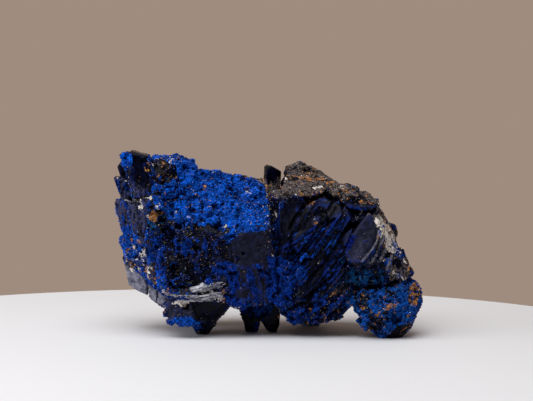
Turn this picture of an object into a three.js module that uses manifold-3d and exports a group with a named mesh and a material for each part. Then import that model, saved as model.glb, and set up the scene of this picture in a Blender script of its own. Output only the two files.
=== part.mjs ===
// Azurite crystal cluster: tabular crystals grown together in one solid that stands on six crystal tips.
// Millimetres, +Z up. The photographed side faces -Y, and X runs to the viewer's right.
import * as THREE from "three";
import { ConvexGeometry } from "three/addons/geometries/ConvexGeometry.js";
import { mergeVertices } from "three/addons/utils/BufferGeometryUtils.js";
import Module from "manifold-3d";

// Driving dimensions.
const LENGTH = 47.2; // along X
const DEPTH = 24.4; // along Y, front to back
const HEIGHT = 28; // along Z, from the table to the tip of the tallest blade
const RIM = 0.3; // width of the bevel round a crystal's face
const BLADE_LEAN = -20; // degrees that the blades of the left end tip to the left
const CRUST = 1.15; // size of the lumps of the blue crust
const GRAIN = 0.8; // size of the small crystals on the rough faces
const SEED = 7;

const wasm = await Module();
wasm.setup();

// A repeatable random number from low to high.
let state = SEED;
function random(low = 0, high = 1) {
  state = (Math.imul(state, 1664525) + 1013904223) >>> 0;
  return low + (high - low) * (state / 4294967296);
}

// Turns a closed three.js geometry into a solid for joining and cutting.
function solidOf(geometry) {
  const bare = new THREE.BufferGeometry();
  bare.setAttribute("position", geometry.getAttribute("position"));
  bare.setIndex(geometry.getIndex());
  const merged = mergeVertices(bare, 1e-4);
  return new wasm.Manifold(
    new wasm.Mesh({
      numProp: 3,
      vertProperties: new Float32Array(merged.attributes.position.array),
      triVerts: new Uint32Array(merged.index.array),
    }),
  );
}

function geometryOf(solid) {
  const mesh = solid.getMesh();
  const geometry = new THREE.BufferGeometry();
  geometry.setAttribute("position", new THREE.BufferAttribute(new Float32Array(mesh.vertProperties), 3));
  geometry.setIndex(new THREE.BufferAttribute(new Uint32Array(mesh.triVerts), 1));
  return geometry;
}

// Moves a geometry to a place. In degrees: lean tips it to the right in the front view, yaw turns its face
// to the right, and pitch tips its top towards the viewer.
function place(geometry, [x, y, z], { lean = 0, yaw = 0, pitch = 0 } = {}) {
  const radians = THREE.MathUtils.degToRad;
  const turn = new THREE.Euler(radians(pitch), radians(lean), radians(yaw), "YZX");
  const matrix = new THREE.Matrix4().makeRotationFromEuler(turn).setPosition(x, y, z);
  return solidOf(geometry.clone().applyMatrix4(matrix));
}

// A crystal given by its corners.
function block(corners) {
  return solidOf(new ConvexGeometry(corners.map((corner) => new THREE.Vector3(...corner))));
}

// A crystal given by the [x, z] outline of its face in the front view. The face's middle lies at y = front
// and slopes back by across per mm to the right and by up per mm upwards.
function slab(outline, { front, thickness, across = 0, up = 0, rim = RIM }) {
  const middle = [0, 1].map((k) => outline.reduce((sum, corner) => sum + corner[k], 0) / outline.length);
  const corners = [];
  for (const [x, z] of outline) {
    const right = x - middle[0];
    const rise = z - middle[1];
    const inward = 1 - rim / Math.hypot(right, rise);
    const depth = front + across * right + up * rise;
    corners.push([middle[0] + right * inward, depth, middle[1] + rise * inward]);
    corners.push([x, depth + rim, z]);
    corners.push([x, Math.max(front, depth) + thickness, z]);
  }
  return block(corners);
}

// A long slab from one [x, z] point to another, widest in the middle and pointed at both ends.
function strip(from, to, width, options) {
  const along = [to[0] - from[0], to[1] - from[1]];
  const length = Math.hypot(...along);
  const side = [(-along[1] / length) * (width / 2), (along[0] / length) * (width / 2)];
  const at = (share, offset) => [
    from[0] + along[0] * share + side[0] * offset,
    from[1] + along[1] * share + side[1] * offset,
  ];
  const outline = [at(0, 0.3), at(0.22, 1), at(0.7, 1), at(1, 0.2), at(0.8, -1), at(0.3, -1)];
  return slab(outline, options);
}

// A tabular crystal standing along Z, its broad faces to the front and back, with a roof-shaped point at
// each end. ridge is where the roof's top lies across the width, from -0.8 to 0.8.
function tablet([width, length, thickness], ridge, roof) {
  const half = width / 2;
  const end = length / 2;
  const drop = roof * width;
  const outline = [
    [-half, -end + drop * (1 - ridge)], [-ridge * half, -end], [half, -end + drop * (1 + ridge)],
    [half, end - drop * (1 - ridge)], [ridge * half, end], [-half, end - drop * (1 + ridge)],
  ];
  const edge = Math.min(RIM, thickness * 0.3);
  const shrink = [1 - edge / half, 1 - edge / end];
  const corners = [];
  for (const side of [-1, 1]) {
    for (const [x, z] of outline) {
      corners.push(new THREE.Vector3(x, side * (thickness / 2 - edge), z));
      corners.push(new THREE.Vector3(x * shrink[0], (side * thickness) / 2, z * shrink[1]));
    }
  }
  return new ConvexGeometry(corners);
}

function tablets(list) {
  return list.map(({ size, ridge, roof = 0.3, at, ...turn }) => place(tablet(size, ridge, roof), at, turn));
}

// The big crystal of the left half. Its sloping upper face carries the blue crust.
function leftMass() {
  return [
    block([
      [-17.4, 0.8, 24.6], [-12.6, -0.6, 24.9], [-9.0, -0.2, 24.0], [-0.2, 0.8, 23.2],
      [0.2, -9.1, 16.9], [-5.4, -9.5, 15.2], [-12.6, -8.2, 15.6], [-17.2, -6.4, 18.0],
      [-15.2, -8.0, 8.6], [-6.6, -9.2, 6.2], [-1.0, -8.6, 4.7], [-5.0, -8.6, 4.6],
      [-19.8, -2.0, 7.4], [-20.8, -1.6, 14.6], [-20.2, -0.6, 21.0],
      [-17.4, 7.6, 20.6], [-9.0, 8.6, 21.6], [-1.0, 9.4, 19.8],
      [1.5, 9.0, 7.0], [-17.2, 7.6, 7.2], [-8.0, 10.0, 12.0],
    ]),
    slab(
      [[-5.6, 15.2], [-3.2, 16.4], [0.0, 16.6], [0.7, 13.4], [0.9, 10.6], [-4.9, 10.4]],
      { front: -9.9, thickness: 3, across: 0.04, up: 0.03 },
    ),
    ...ribs(),
    slab(
      [[-9.9, 11.7], [-7.0, 12.4], [-5.9, 10.4], [-7.0, 7.2], [-9.4, 7.8]],
      { front: -9.3, thickness: 3, across: -0.16 },
    ),
    slab(
      [[-12.8, 15.4], [-9.4, 15.2], [-8.6, 12.2], [-11.4, 11.0], [-13.2, 12.6]],
      { front: -9.0, thickness: 3, across: -0.2 },
    ),
    slab(
      [[-15.6, 12.6], [-12.4, 11.8], [-11.2, 8.2], [-13.6, 7.6], [-15.4, 9.4]],
      { front: -8.7, thickness: 3, across: -0.3 },
    ),
  ];
}

// Upright ribs under the dark smooth face, from left to right.
function ribs() {
  const list = [
    { left: -7.6, right: -5.6, foot: 5.3, head: 8.8, front: -9.2 },
    { left: -6.3, right: -4.5, foot: 5.0, head: 11.2, front: -9.5 },
    { left: -4.9, right: -2.7, foot: 4.3, head: 10.9, front: -9.7 },
    { left: -3.0, right: -1.0, foot: 4.6, head: 11.2, front: -9.5 },
    { left: -1.3, right: 0.9, foot: 4.9, head: 11.0, front: -9.3 },
  ];
  return list.map(({ left, right, foot, head, front }) => {
    const middle = (left + right) / 2;
    const outline = [
      [left, head - 0.3], [middle, head + 0.2], [right, head],
      [right, foot + 0.8], [middle, foot], [left, foot + 0.5],
    ];
    return slab(outline, { front, thickness: 3, across: 0.05 * (middle + 3), up: -0.07, rim: 0.2 });
  });
}

// The middle of the cluster, which links its two halves behind the groove.
function core() {
  return block([
    [-3.0, -3.4, 20.4], [4.5, -3.4, 20.8], [-3.0, -6.4, 6.0], [4.5, -6.4, 5.0],
    [-3.0, 8.0, 20.0], [4.5, 8.0, 21.6], [-3.0, 9.4, 6.6], [4.5, 9.4, 6.6],
  ]);
}

// The broad crystal mass of the right half, with a sloping top and a steep right side.
function rightMass() {
  return [
    block([
      [1.8, -5.8, 21.2], [8.0, -6.6, 20.9], [13.6, -5.4, 20.6], [16.0, -3.4, 20.2],
      [3.0, 7.4, 24.4], [8.4, 5.4, 23.7], [12.4, 1.6, 22.0],
      [18.0, -2.4, 16.6], [19.8, -2.6, 11.6], [21.0, -3.4, 8.2], [20.8, 2.0, 9.6],
      [2.2, -6.0, 5.2], [10.6, -5.0, 4.8], [19.4, -3.6, 7.0],
      [2.0, 9.4, 8.4], [14.0, 6.6, 8.0], [12.0, 8.0, 17.0], [2.4, 10.0, 16.0],
    ]),
    block([
      [2.2, -6.8, 21.9], [5.0, -7.4, 22.0], [8.2, -7.6, 21.8], [12.2, -7.4, 21.6], [15.0, -6.0, 20.8],
      [2.2, -5.6, 19.6], [8.2, -6.0, 19.4], [15.0, -4.6, 18.8], [5.0, 2.0, 23.4], [12.0, 0.0, 22.4],
    ]),
    slab(
      [[9.6, 21.6], [14.6, 20.9], [16.4, 20.4], [16.6, 18.8], [12.4, 17.2], [9.4, 19.6]],
      { front: -7.6, thickness: 5, across: 0.1, up: 0.3 },
    ),
    strip([10.2, 20.6], [16.4, 19.9], 1.8, { front: -8.6, thickness: 5, across: 0.1, up: 0.5 }),
    strip([13.6, 21.2], [17.0, 18.6], 1.6, { front: -7.4, thickness: 5, across: 0.4, up: 0.2 }),
    strip([8.4, 21.9], [14.0, 21.3], 1.2, { front: -8.0, thickness: 4, across: 0.1, up: 0.4 }),
    strip([2.0, 21.7], [8.8, 22.2], 1.3, { front: -8.2, thickness: 5, up: 0.6 }),
  ];
}

// Parallel blades that lean to the left and end in steps, one behind the other.
function leftBlades() {
  return [
    slab(
      [[-20.6, 27.9], [-17.8, 27.2], [-17.0, 23.0], [-18.6, 20.8], [-19.9, 21.0], [-20.9, 24.4]],
      { front: -6.2, thickness: 4, across: -0.25, up: 0.1 },
    ),
    slab(
      [[-22.2, 27.1], [-20.8, 27.6], [-18.6, 26.4], [-18.0, 20.6], [-20.3, 20.6]],
      { front: -4.6, thickness: 3.6, across: -0.3, up: 0.15 },
    ),
    slab(
      [[-23.4, 23.6], [-21.5, 23.4], [-19.6, 20.6], [-21.0, 17.0], [-22.3, 20.6]],
      { front: -1.6, thickness: 3.4, across: -0.3, up: 0.1 },
    ),
    slab(
      [[-23.2, 20.0], [-21.4, 20.3], [-19.0, 19.7], [-17.9, 15.0], [-20.2, 13.4], [-21.7, 15.3]],
      { front: -4.4, thickness: 5, across: -0.4 },
    ),
    slab(
      [[-21.0, 19.6], [-17.6, 20.6], [-15.9, 16.7], [-17.0, 13.4], [-19.8, 14.2]],
      { front: -6.6, thickness: 5, across: -0.35, up: 0.1 },
    ),
    slab(
      [[-19.4, 24.0], [-17.2, 23.6], [-15.6, 19.4], [-17.4, 18.6], [-19.2, 20.4]],
      { front: -6.6, thickness: 4, across: -0.3, up: 0.2 },
    ),
    slab(
      [[-18.2, 26.4], [-16.4, 26.8], [-13.8, 26.6], [-12.6, 23.6], [-14.0, 20.8], [-17.4, 21.0]],
      { front: -3.8, thickness: 6, across: 0.1, up: 0.5 },
    ),
    slab(
      [[-14.6, 26.7], [-12.4, 26.4], [-11.0, 25.1], [-10.8, 22.8], [-12.6, 21.4], [-15.0, 22.0]],
      { front: -3.0, thickness: 6, across: 0.2, up: 0.6 },
    ),
    slab(
      [[-22.3, 14.4], [-20.4, 14.8], [-18.0, 12.6], [-18.8, 10.4], [-21.6, 11.6]],
      { front: -4.0, thickness: 4, across: -0.4, up: -0.1 },
    ),
    ...tablets([
      { size: [4.4, 15.0, 2.6], ridge: -0.6, at: [-18.6, 2.6, 19.2], lean: BLADE_LEAN, yaw: -20, pitch: -4 },
      { size: [4.8, 13.0, 2.4], ridge: -0.5, at: [-18.2, 5.0, 16.4], lean: BLADE_LEAN, yaw: -30, pitch: -6 },
      { size: [4.2, 11.0, 2.2], ridge: -0.7, at: [-16.6, 7.4, 18.0], lean: BLADE_LEAN, yaw: -24, pitch: -8 },
      { size: [4.6, 9.0, 2.4], ridge: 0.4, at: [-14.2, 1.4, 22.6], lean: -8, yaw: 12 },
    ]),
  ];
}

// Three upright plates that step down along the lower left edge, with a narrow groove between each two.
function steppedPlates() {
  const slopes = { across: -0.62, up: -0.36, rim: 0.2 };
  return [
    slab(
      [[-22.0, 14.0], [-20.6, 12.2], [-18.2, 10.4], [-18.2, 5.6], [-19.8, 6.3], [-21.2, 7.2]],
      { ...slopes, front: -2.8, thickness: 7 },
    ),
    slab(
      [[-17.9, 10.6], [-16.8, 9.2], [-16.7, 4.9], [-17.9, 5.7]],
      { ...slopes, front: -5.5, thickness: 7 },
    ),
    slab(
      [[-16.5, 9.2], [-15.0, 7.8], [-15.0, 3.9], [-16.5, 4.8]],
      { ...slopes, front: -6.7, thickness: 7 },
    ),
  ];
}

// Crystals under the left half: the blue-edged lump, the dark pyramid, the two blunt stubs and a hidden foot.
function leftFeet() {
  return [
    block([
      [-15.4, -8.0, 7.2], [-15.2, -7.8, 3.8], [-14.4, -8.4, 2.3], [-12.4, -9.2, 2.5], [-10.9, -9.0, 1.9],
      [-10.2, -8.8, 2.4], [-9.0, -9.4, 5.2], [-6.0, -9.0, 6.0], [-6.4, -9.2, 7.0], [-11.6, -9.7, 4.6],
      [-11.0, -5.0, 2.4], [-14.0, -4.8, 2.8], [-14.6, -5.0, 8.0], [-7.0, -5.0, 8.0],
    ]),
    block([
      [-10.5, -4.8, -0.5], [-9.3, -3.2, -0.5], [-10.6, -1.8, -0.4], [-5.3, -8.3, 5.3], [-5.2, 1.4, 5.8],
      [-13.4, -7.2, 5.6], [-12.6, 2.0, 6.0], [-9.8, -8.6, 4.6],
    ]),
    block([
      [-3.4, -1.9, -0.2], [-1.7, -2.0, -0.2], [-2.3, 0.6, -0.2], [-4.4, -2.4, 4.6], [-1.0, -2.6, 4.6],
      [-1.5, 1.6, 5.4], [-4.2, 1.4, 5.4], [-1.2, -2.3, 1.2],
    ]),
    block([
      [-0.1, -2.6, 0.2], [1.2, -2.4, -0.2], [0.6, -0.6, -0.2], [1.7, -2.2, 1.2], [-1.3, -2.8, 2.0],
      [-2.0, -3.0, 5.4], [2.2, -2.8, 5.4], [1.9, 0.8, 5.4], [-1.2, 0.8, 5.4],
    ]),
    block([
      [-13.8, 5.0, -0.4], [-11.8, 4.8, -0.4], [-12.4, 6.8, -0.4], [-14.8, 7.8, 3.6], [-10.6, 8.2, 3.8],
      [-17.2, 8.4, 8.4], [-16.2, 2.0, 7.6], [-7.4, 9.4, 8.6], [-8.4, 2.0, 7.4], [-12.2, 10.2, 8.8],
    ]),
  ];
}

// Thin ledges that stand out of the left half and catch the light.
function ledges() {
  const edges = [
    { from: [-9.9, 8.3], to: [-5.9, 8.9], width: 1.3 },
    { from: [-9.2, 6.9], to: [-5.8, 7.4], width: 1.0 },
    { from: [-15.6, 7.2], to: [-8.4, 6.9], width: 0.6 },
    { from: [-13.4, 6.3], to: [-7.8, 6.1], width: 0.6 },
  ];
  const options = { front: -9.9, thickness: 2.6, up: 0.35, rim: 0.1 };
  return edges.map(({ from, to, width }) => strip(from, to, width, options));
}

// The facets of the right half. Each turns to the upper left, stands proud along its lower right edge and
// overlaps the next one, and each next one leans a little further over.
function fan() {
  const faces = { across: -0.42, up: 0.3 };
  const broad = [
    { from: [12.3, 16.9], to: [3.6, 5.2], front: -10.0 },
    { from: [11.8, 13.4], to: [4.0, 3.8], front: -9.7 },
    { from: [12.4, 11.6], to: [4.8, 2.6], front: -9.3 },
    { from: [13.0, 9.8], to: [6.4, 2.2], front: -8.9 },
    { from: [13.4, 7.6], to: [8.8, 2.4], front: -8.3 },
  ];
  const thin = [
    { from: [9.6, 19.4], to: [4.6, 11.4], front: -9.7 },
    { from: [11.2, 17.2], to: [5.6, 9.2], front: -10.3 },
    { from: [12.4, 14.6], to: [6.8, 7.6], front: -10.3 },
    { from: [12.2, 11.6], to: [6.6, 5.4], front: -9.9 },
    { from: [11.6, 9.2], to: [7.4, 4.2], front: -9.4 },
  ];
  return [
    slab(
      [[1.7, 21.3], [5.3, 21.7], [5.0, 18.5], [3.8, 14.8], [2.2, 11.6], [1.8, 15.4]],
      { front: -8.0, thickness: 4, across: -0.12, up: 0.1 },
    ),
    slab(
      [[5.4, 20.4], [8.0, 21.2], [9.3, 20.6], [6.7, 15.7], [4.3, 12.8], [3.4, 14.0]],
      { ...faces, front: -8.9, thickness: 4 },
    ),
    slab(
      [[8.1, 19.6], [10.4, 20.8], [11.0, 18.9], [8.3, 15.0], [5.7, 12.1], [4.8, 13.2]],
      { ...faces, front: -9.5, thickness: 5 },
    ),
    slab(
      [[11.3, 19.8], [12.3, 18.4], [8.1, 11.7], [4.7, 8.2], [4.3, 9.0], [6.6, 13.0]],
      { ...faces, front: -10.0, thickness: 5 },
    ),
    slab(
      [[2.0, 14.0], [4.6, 14.0], [5.6, 11.4], [3.4, 9.4], [1.4, 10.8]],
      { front: -7.9, thickness: 3, across: 0.1, up: 0.2 },
    ),
    slab(
      [[0.9, 9.8], [3.1, 11.5], [5.3, 11.0], [5.6, 8.4], [3.8, 5.0], [2.2, 3.6], [1.0, 5.2]],
      { front: -8.7, thickness: 3, across: 0.15 },
    ),
    ...broad.map(({ from, to, front }) => strip(from, to, 2.1, { ...faces, front, thickness: 5 })),
    ...thin.map(({ from, to, front }) => strip(from, to, 0.8, { ...faces, front, thickness: 3 })),
  ];
}

// The smooth lens-shaped face at the right, with thin curved plates behind its edge.
function lensPlates() {
  const solids = [
    slab(
      [[12.2, 15.6], [14.8, 18.9], [16.4, 17.8], [16.6, 15.0], [15.2, 12.4], [12.6, 11.2], [11.2, 12.6]],
      { front: -10.1, thickness: 6.5, across: 0.12, up: 0.12, rim: 0.35 },
    ),
  ];
  for (let i = 0; i < 4; i += 1) {
    const step = 1.05 * i;
    const from = [17.2 + step * 0.5, 17.2 - step];
    const to = [14.6 + step * 1.1, 10.6 - step * 0.7];
    solids.push(strip(from, to, 1.3, { front: -8.4 + step, thickness: 4.4, across: 0.5, up: 0.1, rim: 0.2 }));
  }
  return solids;
}

// The steep right side: plates that step back from the lens-shaped face to the right end.
function rightSide() {
  return [
    slab(
      [[15.4, 19.4], [17.0, 19.0], [18.5, 16.2], [18.4, 13.4], [16.4, 14.0]],
      { front: -6.0, thickness: 5, across: 0.6, up: 0.2 },
    ),
    slab(
      [[17.6, 17.0], [19.2, 14.8], [20.2, 12.0], [19.0, 10.6], [17.0, 12.4]],
      { front: -5.4, thickness: 5, across: 0.7, up: 0.2 },
    ),
    slab(
      [[18.4, 13.6], [20.6, 12.6], [21.8, 9.4], [20.4, 7.8], [17.4, 9.4]],
      { front: -6.2, thickness: 5, across: 0.6, up: 0.1 },
    ),
    slab(
      [[11.6, 11.8], [14.6, 12.4], [18.2, 11.6], [19.2, 8.9], [17.4, 7.9], [12.1, 7.4]],
      { front: -8.8, thickness: 5, across: 0.16, up: -0.1 },
    ),
    slab(
      [[13.6, 19.8], [16.6, 18.8], [18.0, 15.2], [15.0, 16.0]],
      { front: -2.4, thickness: 5, across: 0.5, up: 0.3 },
    ),
  ];
}

// The lump that hangs under the fan, the foot at the right end and the hidden foot behind them.
function rightFeet() {
  return [
    block([
      [1.6, -6.6, 3.4], [3.4, -7.6, 2.4], [5.4, -8.0, 1.7], [7.6, -8.0, 2.0], [9.8, -7.2, 2.5],
      [11.2, -6.4, 3.6], [1.6, -7.4, 7.6], [10.6, -7.6, 8.0], [4.4, 2.0, 2.2], [9.6, 1.6, 3.0],
      [2.0, 3.0, 8.0], [11.0, 2.0, 8.0],
    ]),
    block([
      [12.0, -9.0, 6.2], [12.8, -8.6, 4.2], [14.8, -8.8, 1.7], [16.6, -8.8, -0.4], [19.4, -8.6, -0.4],
      [21.4, -7.8, 1.7], [22.4, -6.4, 3.8], [23.2, -5.4, 5.4], [22.6, -5.0, 7.4], [18.4, -9.6, 7.2],
      [14.0, -9.8, 7.0], [17.2, -11.2, 4.4], [20.2, -10.0, 4.2], [16.6, -3.6, -0.4], [19.2, -4.0, -0.4],
      [13.6, -2.6, 4.0], [22.0, -1.4, 5.0], [15.0, -2.6, 8.2], [21.4, -2.2, 8.4],
    ]),
    slab(
      [[19.6, 3.0], [21.6, 3.3], [20.6, 0.9], [19.2, 0.6]],
      { front: -9.2, thickness: 4, across: 0.5, up: -0.5 },
    ),
    block([
      [5.4, 5.2, -0.4], [7.6, 5.0, -0.4], [6.8, 7.2, -0.4], [3.6, 8.4, 3.8], [9.2, 8.0, 3.6],
      [0.4, 9.4, 8.2], [1.6, 2.4, 7.2], [13.0, 7.6, 8.8], [11.8, 2.0, 7.4], [6.4, 10.6, 8.6],
    ]),
  ];
}

// Crystals of the back. The photograph shows only the tips of the first two, over the top.
function backCrystals() {
  return tablets([
    { size: [2.4, 8.0, 2.0], ridge: -0.6, roof: 0.2, at: [0.5, 8.2, 20.9], lean: 4, yaw: 20 },
    { size: [6.0, 13.0, 2.8], ridge: -0.2, roof: 0.2, at: [5.2, 8.4, 18.9], lean: 6, yaw: 10 },
    { size: [7.6, 16.0, 3.0], ridge: 0.3, at: [-6.8, 9.2, 14.6], lean: 14, yaw: 168, pitch: -5 },
    { size: [5.4, 13.0, 2.6], ridge: -0.4, at: [-3.6, 10.2, 11.8], lean: -26, yaw: 186, pitch: 6 },
    { size: [6.4, 14.0, 2.8], ridge: -0.2, at: [-13.4, 8.2, 14.2], lean: -16, yaw: 150, pitch: 4 },
    { size: [4.4, 10.0, 2.4], ridge: 0.5, at: [-10.4, 9.8, 10.4], lean: 38, yaw: 172, pitch: 5 },
    { size: [6.8, 14.0, 2.6], ridge: 0.4, at: [9.2, 7.6, 14.6], lean: 22, yaw: 196 },
    { size: [5.2, 11.0, 2.4], ridge: -0.3, at: [6.2, 9.6, 11.0], lean: -34, yaw: 176, pitch: 6 },
    { size: [5.4, 12.0, 2.4], ridge: 0.3, at: [14.6, 4.6, 11.2], lean: 30, yaw: 222, pitch: 4 },
    { size: [4.2, 9.0, 2.2], ridge: -0.2, at: [16.8, 1.2, 12.4], lean: 24, yaw: 236 },
    { size: [4.8, 11.0, 2.6], ridge: 0.3, at: [-18.4, 4.4, 11.4], lean: -12, yaw: 120 },
    { size: [4.0, 8.0, 2.2], ridge: 0.2, at: [12.4, 5.4, 17.2], lean: 36, yaw: 205 },
    { size: [4.4, 10.0, 2.4], ridge: 0.3, at: [-12.0, 4.4, 18.4], lean: -14, yaw: 35, pitch: 12 },
    { size: [5.0, 9.0, 2.2], ridge: -0.3, at: [-7.6, 5.6, 17.8], lean: 8, yaw: -20, pitch: 18 },
    { size: [3.6, 8.0, 2.4], ridge: 0.2, at: [-3.2, 4.2, 18.6], lean: 20, yaw: 30, pitch: 8 },
  ]);
}

// The deep groove between the two halves, and the gap above the right foot.
function grooves() {
  return [
    block([
      [0.5, -12, 22.6], [2.2, -12, 22.6], [1.3, -4.6, 22.6],
      [1.0, -12, 6.0], [2.0, -12, 6.0], [1.5, -5.6, 6.0],
    ]),
    block([
      [11.4, -13, 7.9], [19.6, -13, 8.4], [12.4, -13, 7.1], [19.4, -13, 7.3],
      [13.0, -5.6, 7.9], [18.6, -5.2, 8.1],
    ]),
  ];
}

// Pits of the crust and of the faces: a place, and the pit's width.
function pits() {
  const places = [
    { at: [-7.6, -9.6, 17.0], width: 1.7 },
    { at: [-15.4, -8.6, 16.2], width: 1.9 },
    { at: [-5.6, -4.0, 21.4], width: 1.1 },
    { at: [-5.0, -5.0, 20.6], width: 0.9 },
    { at: [8.2, -9.8, 18.6], width: 1.5 },
    { at: [-17.4, -7.4, 18.4], width: 1.2 },
    { at: [-13.8, -9.0, 10.4], width: 1.9 },
    { at: [-10.8, -9.2, 13.4], width: 1.5 },
    { at: [-12.2, -9.4, 5.0], width: 1.2 },
  ];
  return places.map(({ at, width }, i) =>
    place(new THREE.OctahedronGeometry(width), at, { lean: 40 * i, yaw: 25 * i, pitch: 15 * i }),
  );
}

// Small crystals strewn over a solid. Rays along aim, from an ellipse round centre, find where they sit.
function druse(solid, { centre, aim, across, up, count, size }) {
  const target = new THREE.Mesh(geometryOf(solid), new THREE.MeshBasicMaterial());
  const direction = new THREE.Vector3(...aim).normalize();
  const side = new THREE.Vector3().crossVectors(direction, new THREE.Vector3(0, 0, 1)).normalize();
  const rise = new THREE.Vector3().crossVectors(side, direction);
  const caster = new THREE.Raycaster();
  const grains = [];
  for (let i = 0; i < count; i += 1) {
    const angle = random(0, 2 * Math.PI);
    const reach = Math.sqrt(random());
    const origin = new THREE.Vector3(...centre)
      .addScaledVector(side, across * reach * Math.cos(angle))
      .addScaledVector(rise, up * reach * Math.sin(angle))
      .addScaledVector(direction, -30);
    caster.set(origin, direction);
    const [hit] = caster.intersectObject(target);
    if (!hit) continue;
    const long = size * random(0.9, 1.7);
    const turn = new THREE.Euler(random(0, Math.PI), random(0, Math.PI), random(0, Math.PI));
    const seat = hit.point.addScaledVector(hit.face.normal, -0.3 * long);
    const matrix = new THREE.Matrix4().makeRotationFromEuler(turn).setPosition(seat);
    grains.push(solidOf(new THREE.BoxGeometry(long, long * 0.8, long * 1.3).applyMatrix4(matrix)));
  }
  return grains;
}

// Where the small crystals sit: the blue crust, the rough faces, both lumps, the top and the back.
function crusts(solid) {
  const patches = [
    { centre: [-8.5, -5.0, 20.5], aim: [0, 0.62, -0.78], across: 8.5, up: 5.6, count: 34, size: CRUST },
    { centre: [-16.0, -6.0, 15.0], aim: [0.3, 1, 0], across: 4.6, up: 5.0, count: 14, size: GRAIN },
    { centre: [-12.0, -8.0, 10.5], aim: [0, 1, 0], across: 4.2, up: 4.6, count: 12, size: GRAIN },
    { centre: [-11.5, -8.0, 3.6], aim: [0, 1, 0.2], across: 4.2, up: 2.0, count: 9, size: GRAIN },
    { centre: [17.6, -9.0, 4.0], aim: [-0.1, 1, 0], across: 4.8, up: 3.4, count: 20, size: CRUST },
    { centre: [3.4, -8.0, 7.8], aim: [0, 1, 0], across: 2.4, up: 3.8, count: 10, size: GRAIN },
    { centre: [15.4, -8.0, 9.8], aim: [-0.2, 1, 0], across: 3.6, up: 2.2, count: 10, size: GRAIN },
    { centre: [6.6, -6.0, 3.4], aim: [0, 1, 0.3], across: 4.4, up: 1.6, count: 12, size: GRAIN },
    { centre: [8.0, -2.0, 22.0], aim: [0, 0.3, -1], across: 6.0, up: 6.0, count: 14, size: GRAIN },
    { centre: [-8.0, 5.0, 22.0], aim: [0, -0.3, -1], across: 8.0, up: 3.0, count: 9, size: CRUST },
    { centre: [2.0, 9.0, 9.0], aim: [0, -1, 0.1], across: 13.0, up: 4.0, count: 14, size: CRUST },
  ];
  return patches.flatMap((patch) => druse(solid, patch));
}

// Cuts the feet off flat where they stand, puts the origin under the middle and brings the cluster to size.
function stood(solid) {
  const below = new THREE.BoxGeometry(3 * LENGTH, 3 * DEPTH, HEIGHT).translate(0, 0, -HEIGHT / 2);
  const geometry = geometryOf(solid.subtract(solidOf(below)));
  geometry.computeBoundingBox();
  const { min, max } = geometry.boundingBox;
  geometry.translate(-(min.x + max.x) / 2, -(min.y + max.y) / 2, 0);
  return geometry.scale(LENGTH / (max.x - min.x), DEPTH / (max.y - min.y), HEIGHT / max.z);
}

const crystals = wasm.Manifold.union([
  core(), ...leftMass(), ...rightMass(), ...leftBlades(), ...steppedPlates(), ...leftFeet(),
  ...ledges(), ...fan(), ...lensPlates(), ...rightSide(), ...rightFeet(), ...backCrystals(),
]);
const carved = crystals.subtract(wasm.Manifold.union([...grooves(), ...pits()]));
const grown = wasm.Manifold.union([carved, ...crusts(carved)]);

const mesh = new THREE.Mesh(
  stood(grown),
  new THREE.MeshStandardMaterial({ color: 0x0a1f6b, roughness: 0.45, metalness: 0 }),
);
mesh.name = "azurite_cluster";

const group = new THREE.Group();
group.add(mesh);
export default group;
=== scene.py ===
"""Azurite crystal cluster: the skin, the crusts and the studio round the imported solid.

The skin is a fine copy of the solid. Its relief, and the places of its crusts, come from noise and from
outlines of the crusted areas as seen from the front. Thousands of tiny crystals then grow on it.
Lengths are in millimetres until a mesh is made, and the finished scene is in metres.
"""
import math

import bmesh
import bpy
import numpy as np
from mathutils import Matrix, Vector
from mathutils.bvhtree import BVHTree


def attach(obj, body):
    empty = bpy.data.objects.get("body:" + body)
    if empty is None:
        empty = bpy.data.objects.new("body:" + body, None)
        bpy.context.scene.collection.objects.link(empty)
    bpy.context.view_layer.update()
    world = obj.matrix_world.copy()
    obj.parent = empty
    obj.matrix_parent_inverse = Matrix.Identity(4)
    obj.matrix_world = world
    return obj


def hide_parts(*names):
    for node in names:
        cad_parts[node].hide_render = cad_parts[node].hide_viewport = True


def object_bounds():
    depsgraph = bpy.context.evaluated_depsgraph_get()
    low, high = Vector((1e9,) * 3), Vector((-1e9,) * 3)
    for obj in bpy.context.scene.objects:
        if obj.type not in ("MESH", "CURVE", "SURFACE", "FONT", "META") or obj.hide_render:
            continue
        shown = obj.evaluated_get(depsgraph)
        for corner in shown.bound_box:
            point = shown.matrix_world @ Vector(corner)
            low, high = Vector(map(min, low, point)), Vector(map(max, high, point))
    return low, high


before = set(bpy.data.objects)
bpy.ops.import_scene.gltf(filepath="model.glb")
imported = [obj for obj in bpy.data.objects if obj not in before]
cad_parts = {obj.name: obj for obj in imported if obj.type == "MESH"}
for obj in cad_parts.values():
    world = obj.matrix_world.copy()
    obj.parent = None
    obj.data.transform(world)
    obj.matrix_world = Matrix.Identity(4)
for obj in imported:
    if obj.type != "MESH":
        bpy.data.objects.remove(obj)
cad_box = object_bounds()

MM = 0.001
PICTURE_WIDTH = 533
FOCAL = 2129.0                       # focal length, in widths of one picture point
EYE = np.array((-0.155, -326.79, 45.93))
EYE_TILT = math.radians(4.527)       # how far the camera looks down
SKIN_STEP = 0.13                     # width of the skin's meshes before the relief
SKIN_TRIANGLES = 196000

LEFT_GRAIN = np.array((0.19, 0.0, -0.98))
RIGHT_GRAIN = np.array((0.60, 0.0, 0.80))

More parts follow.
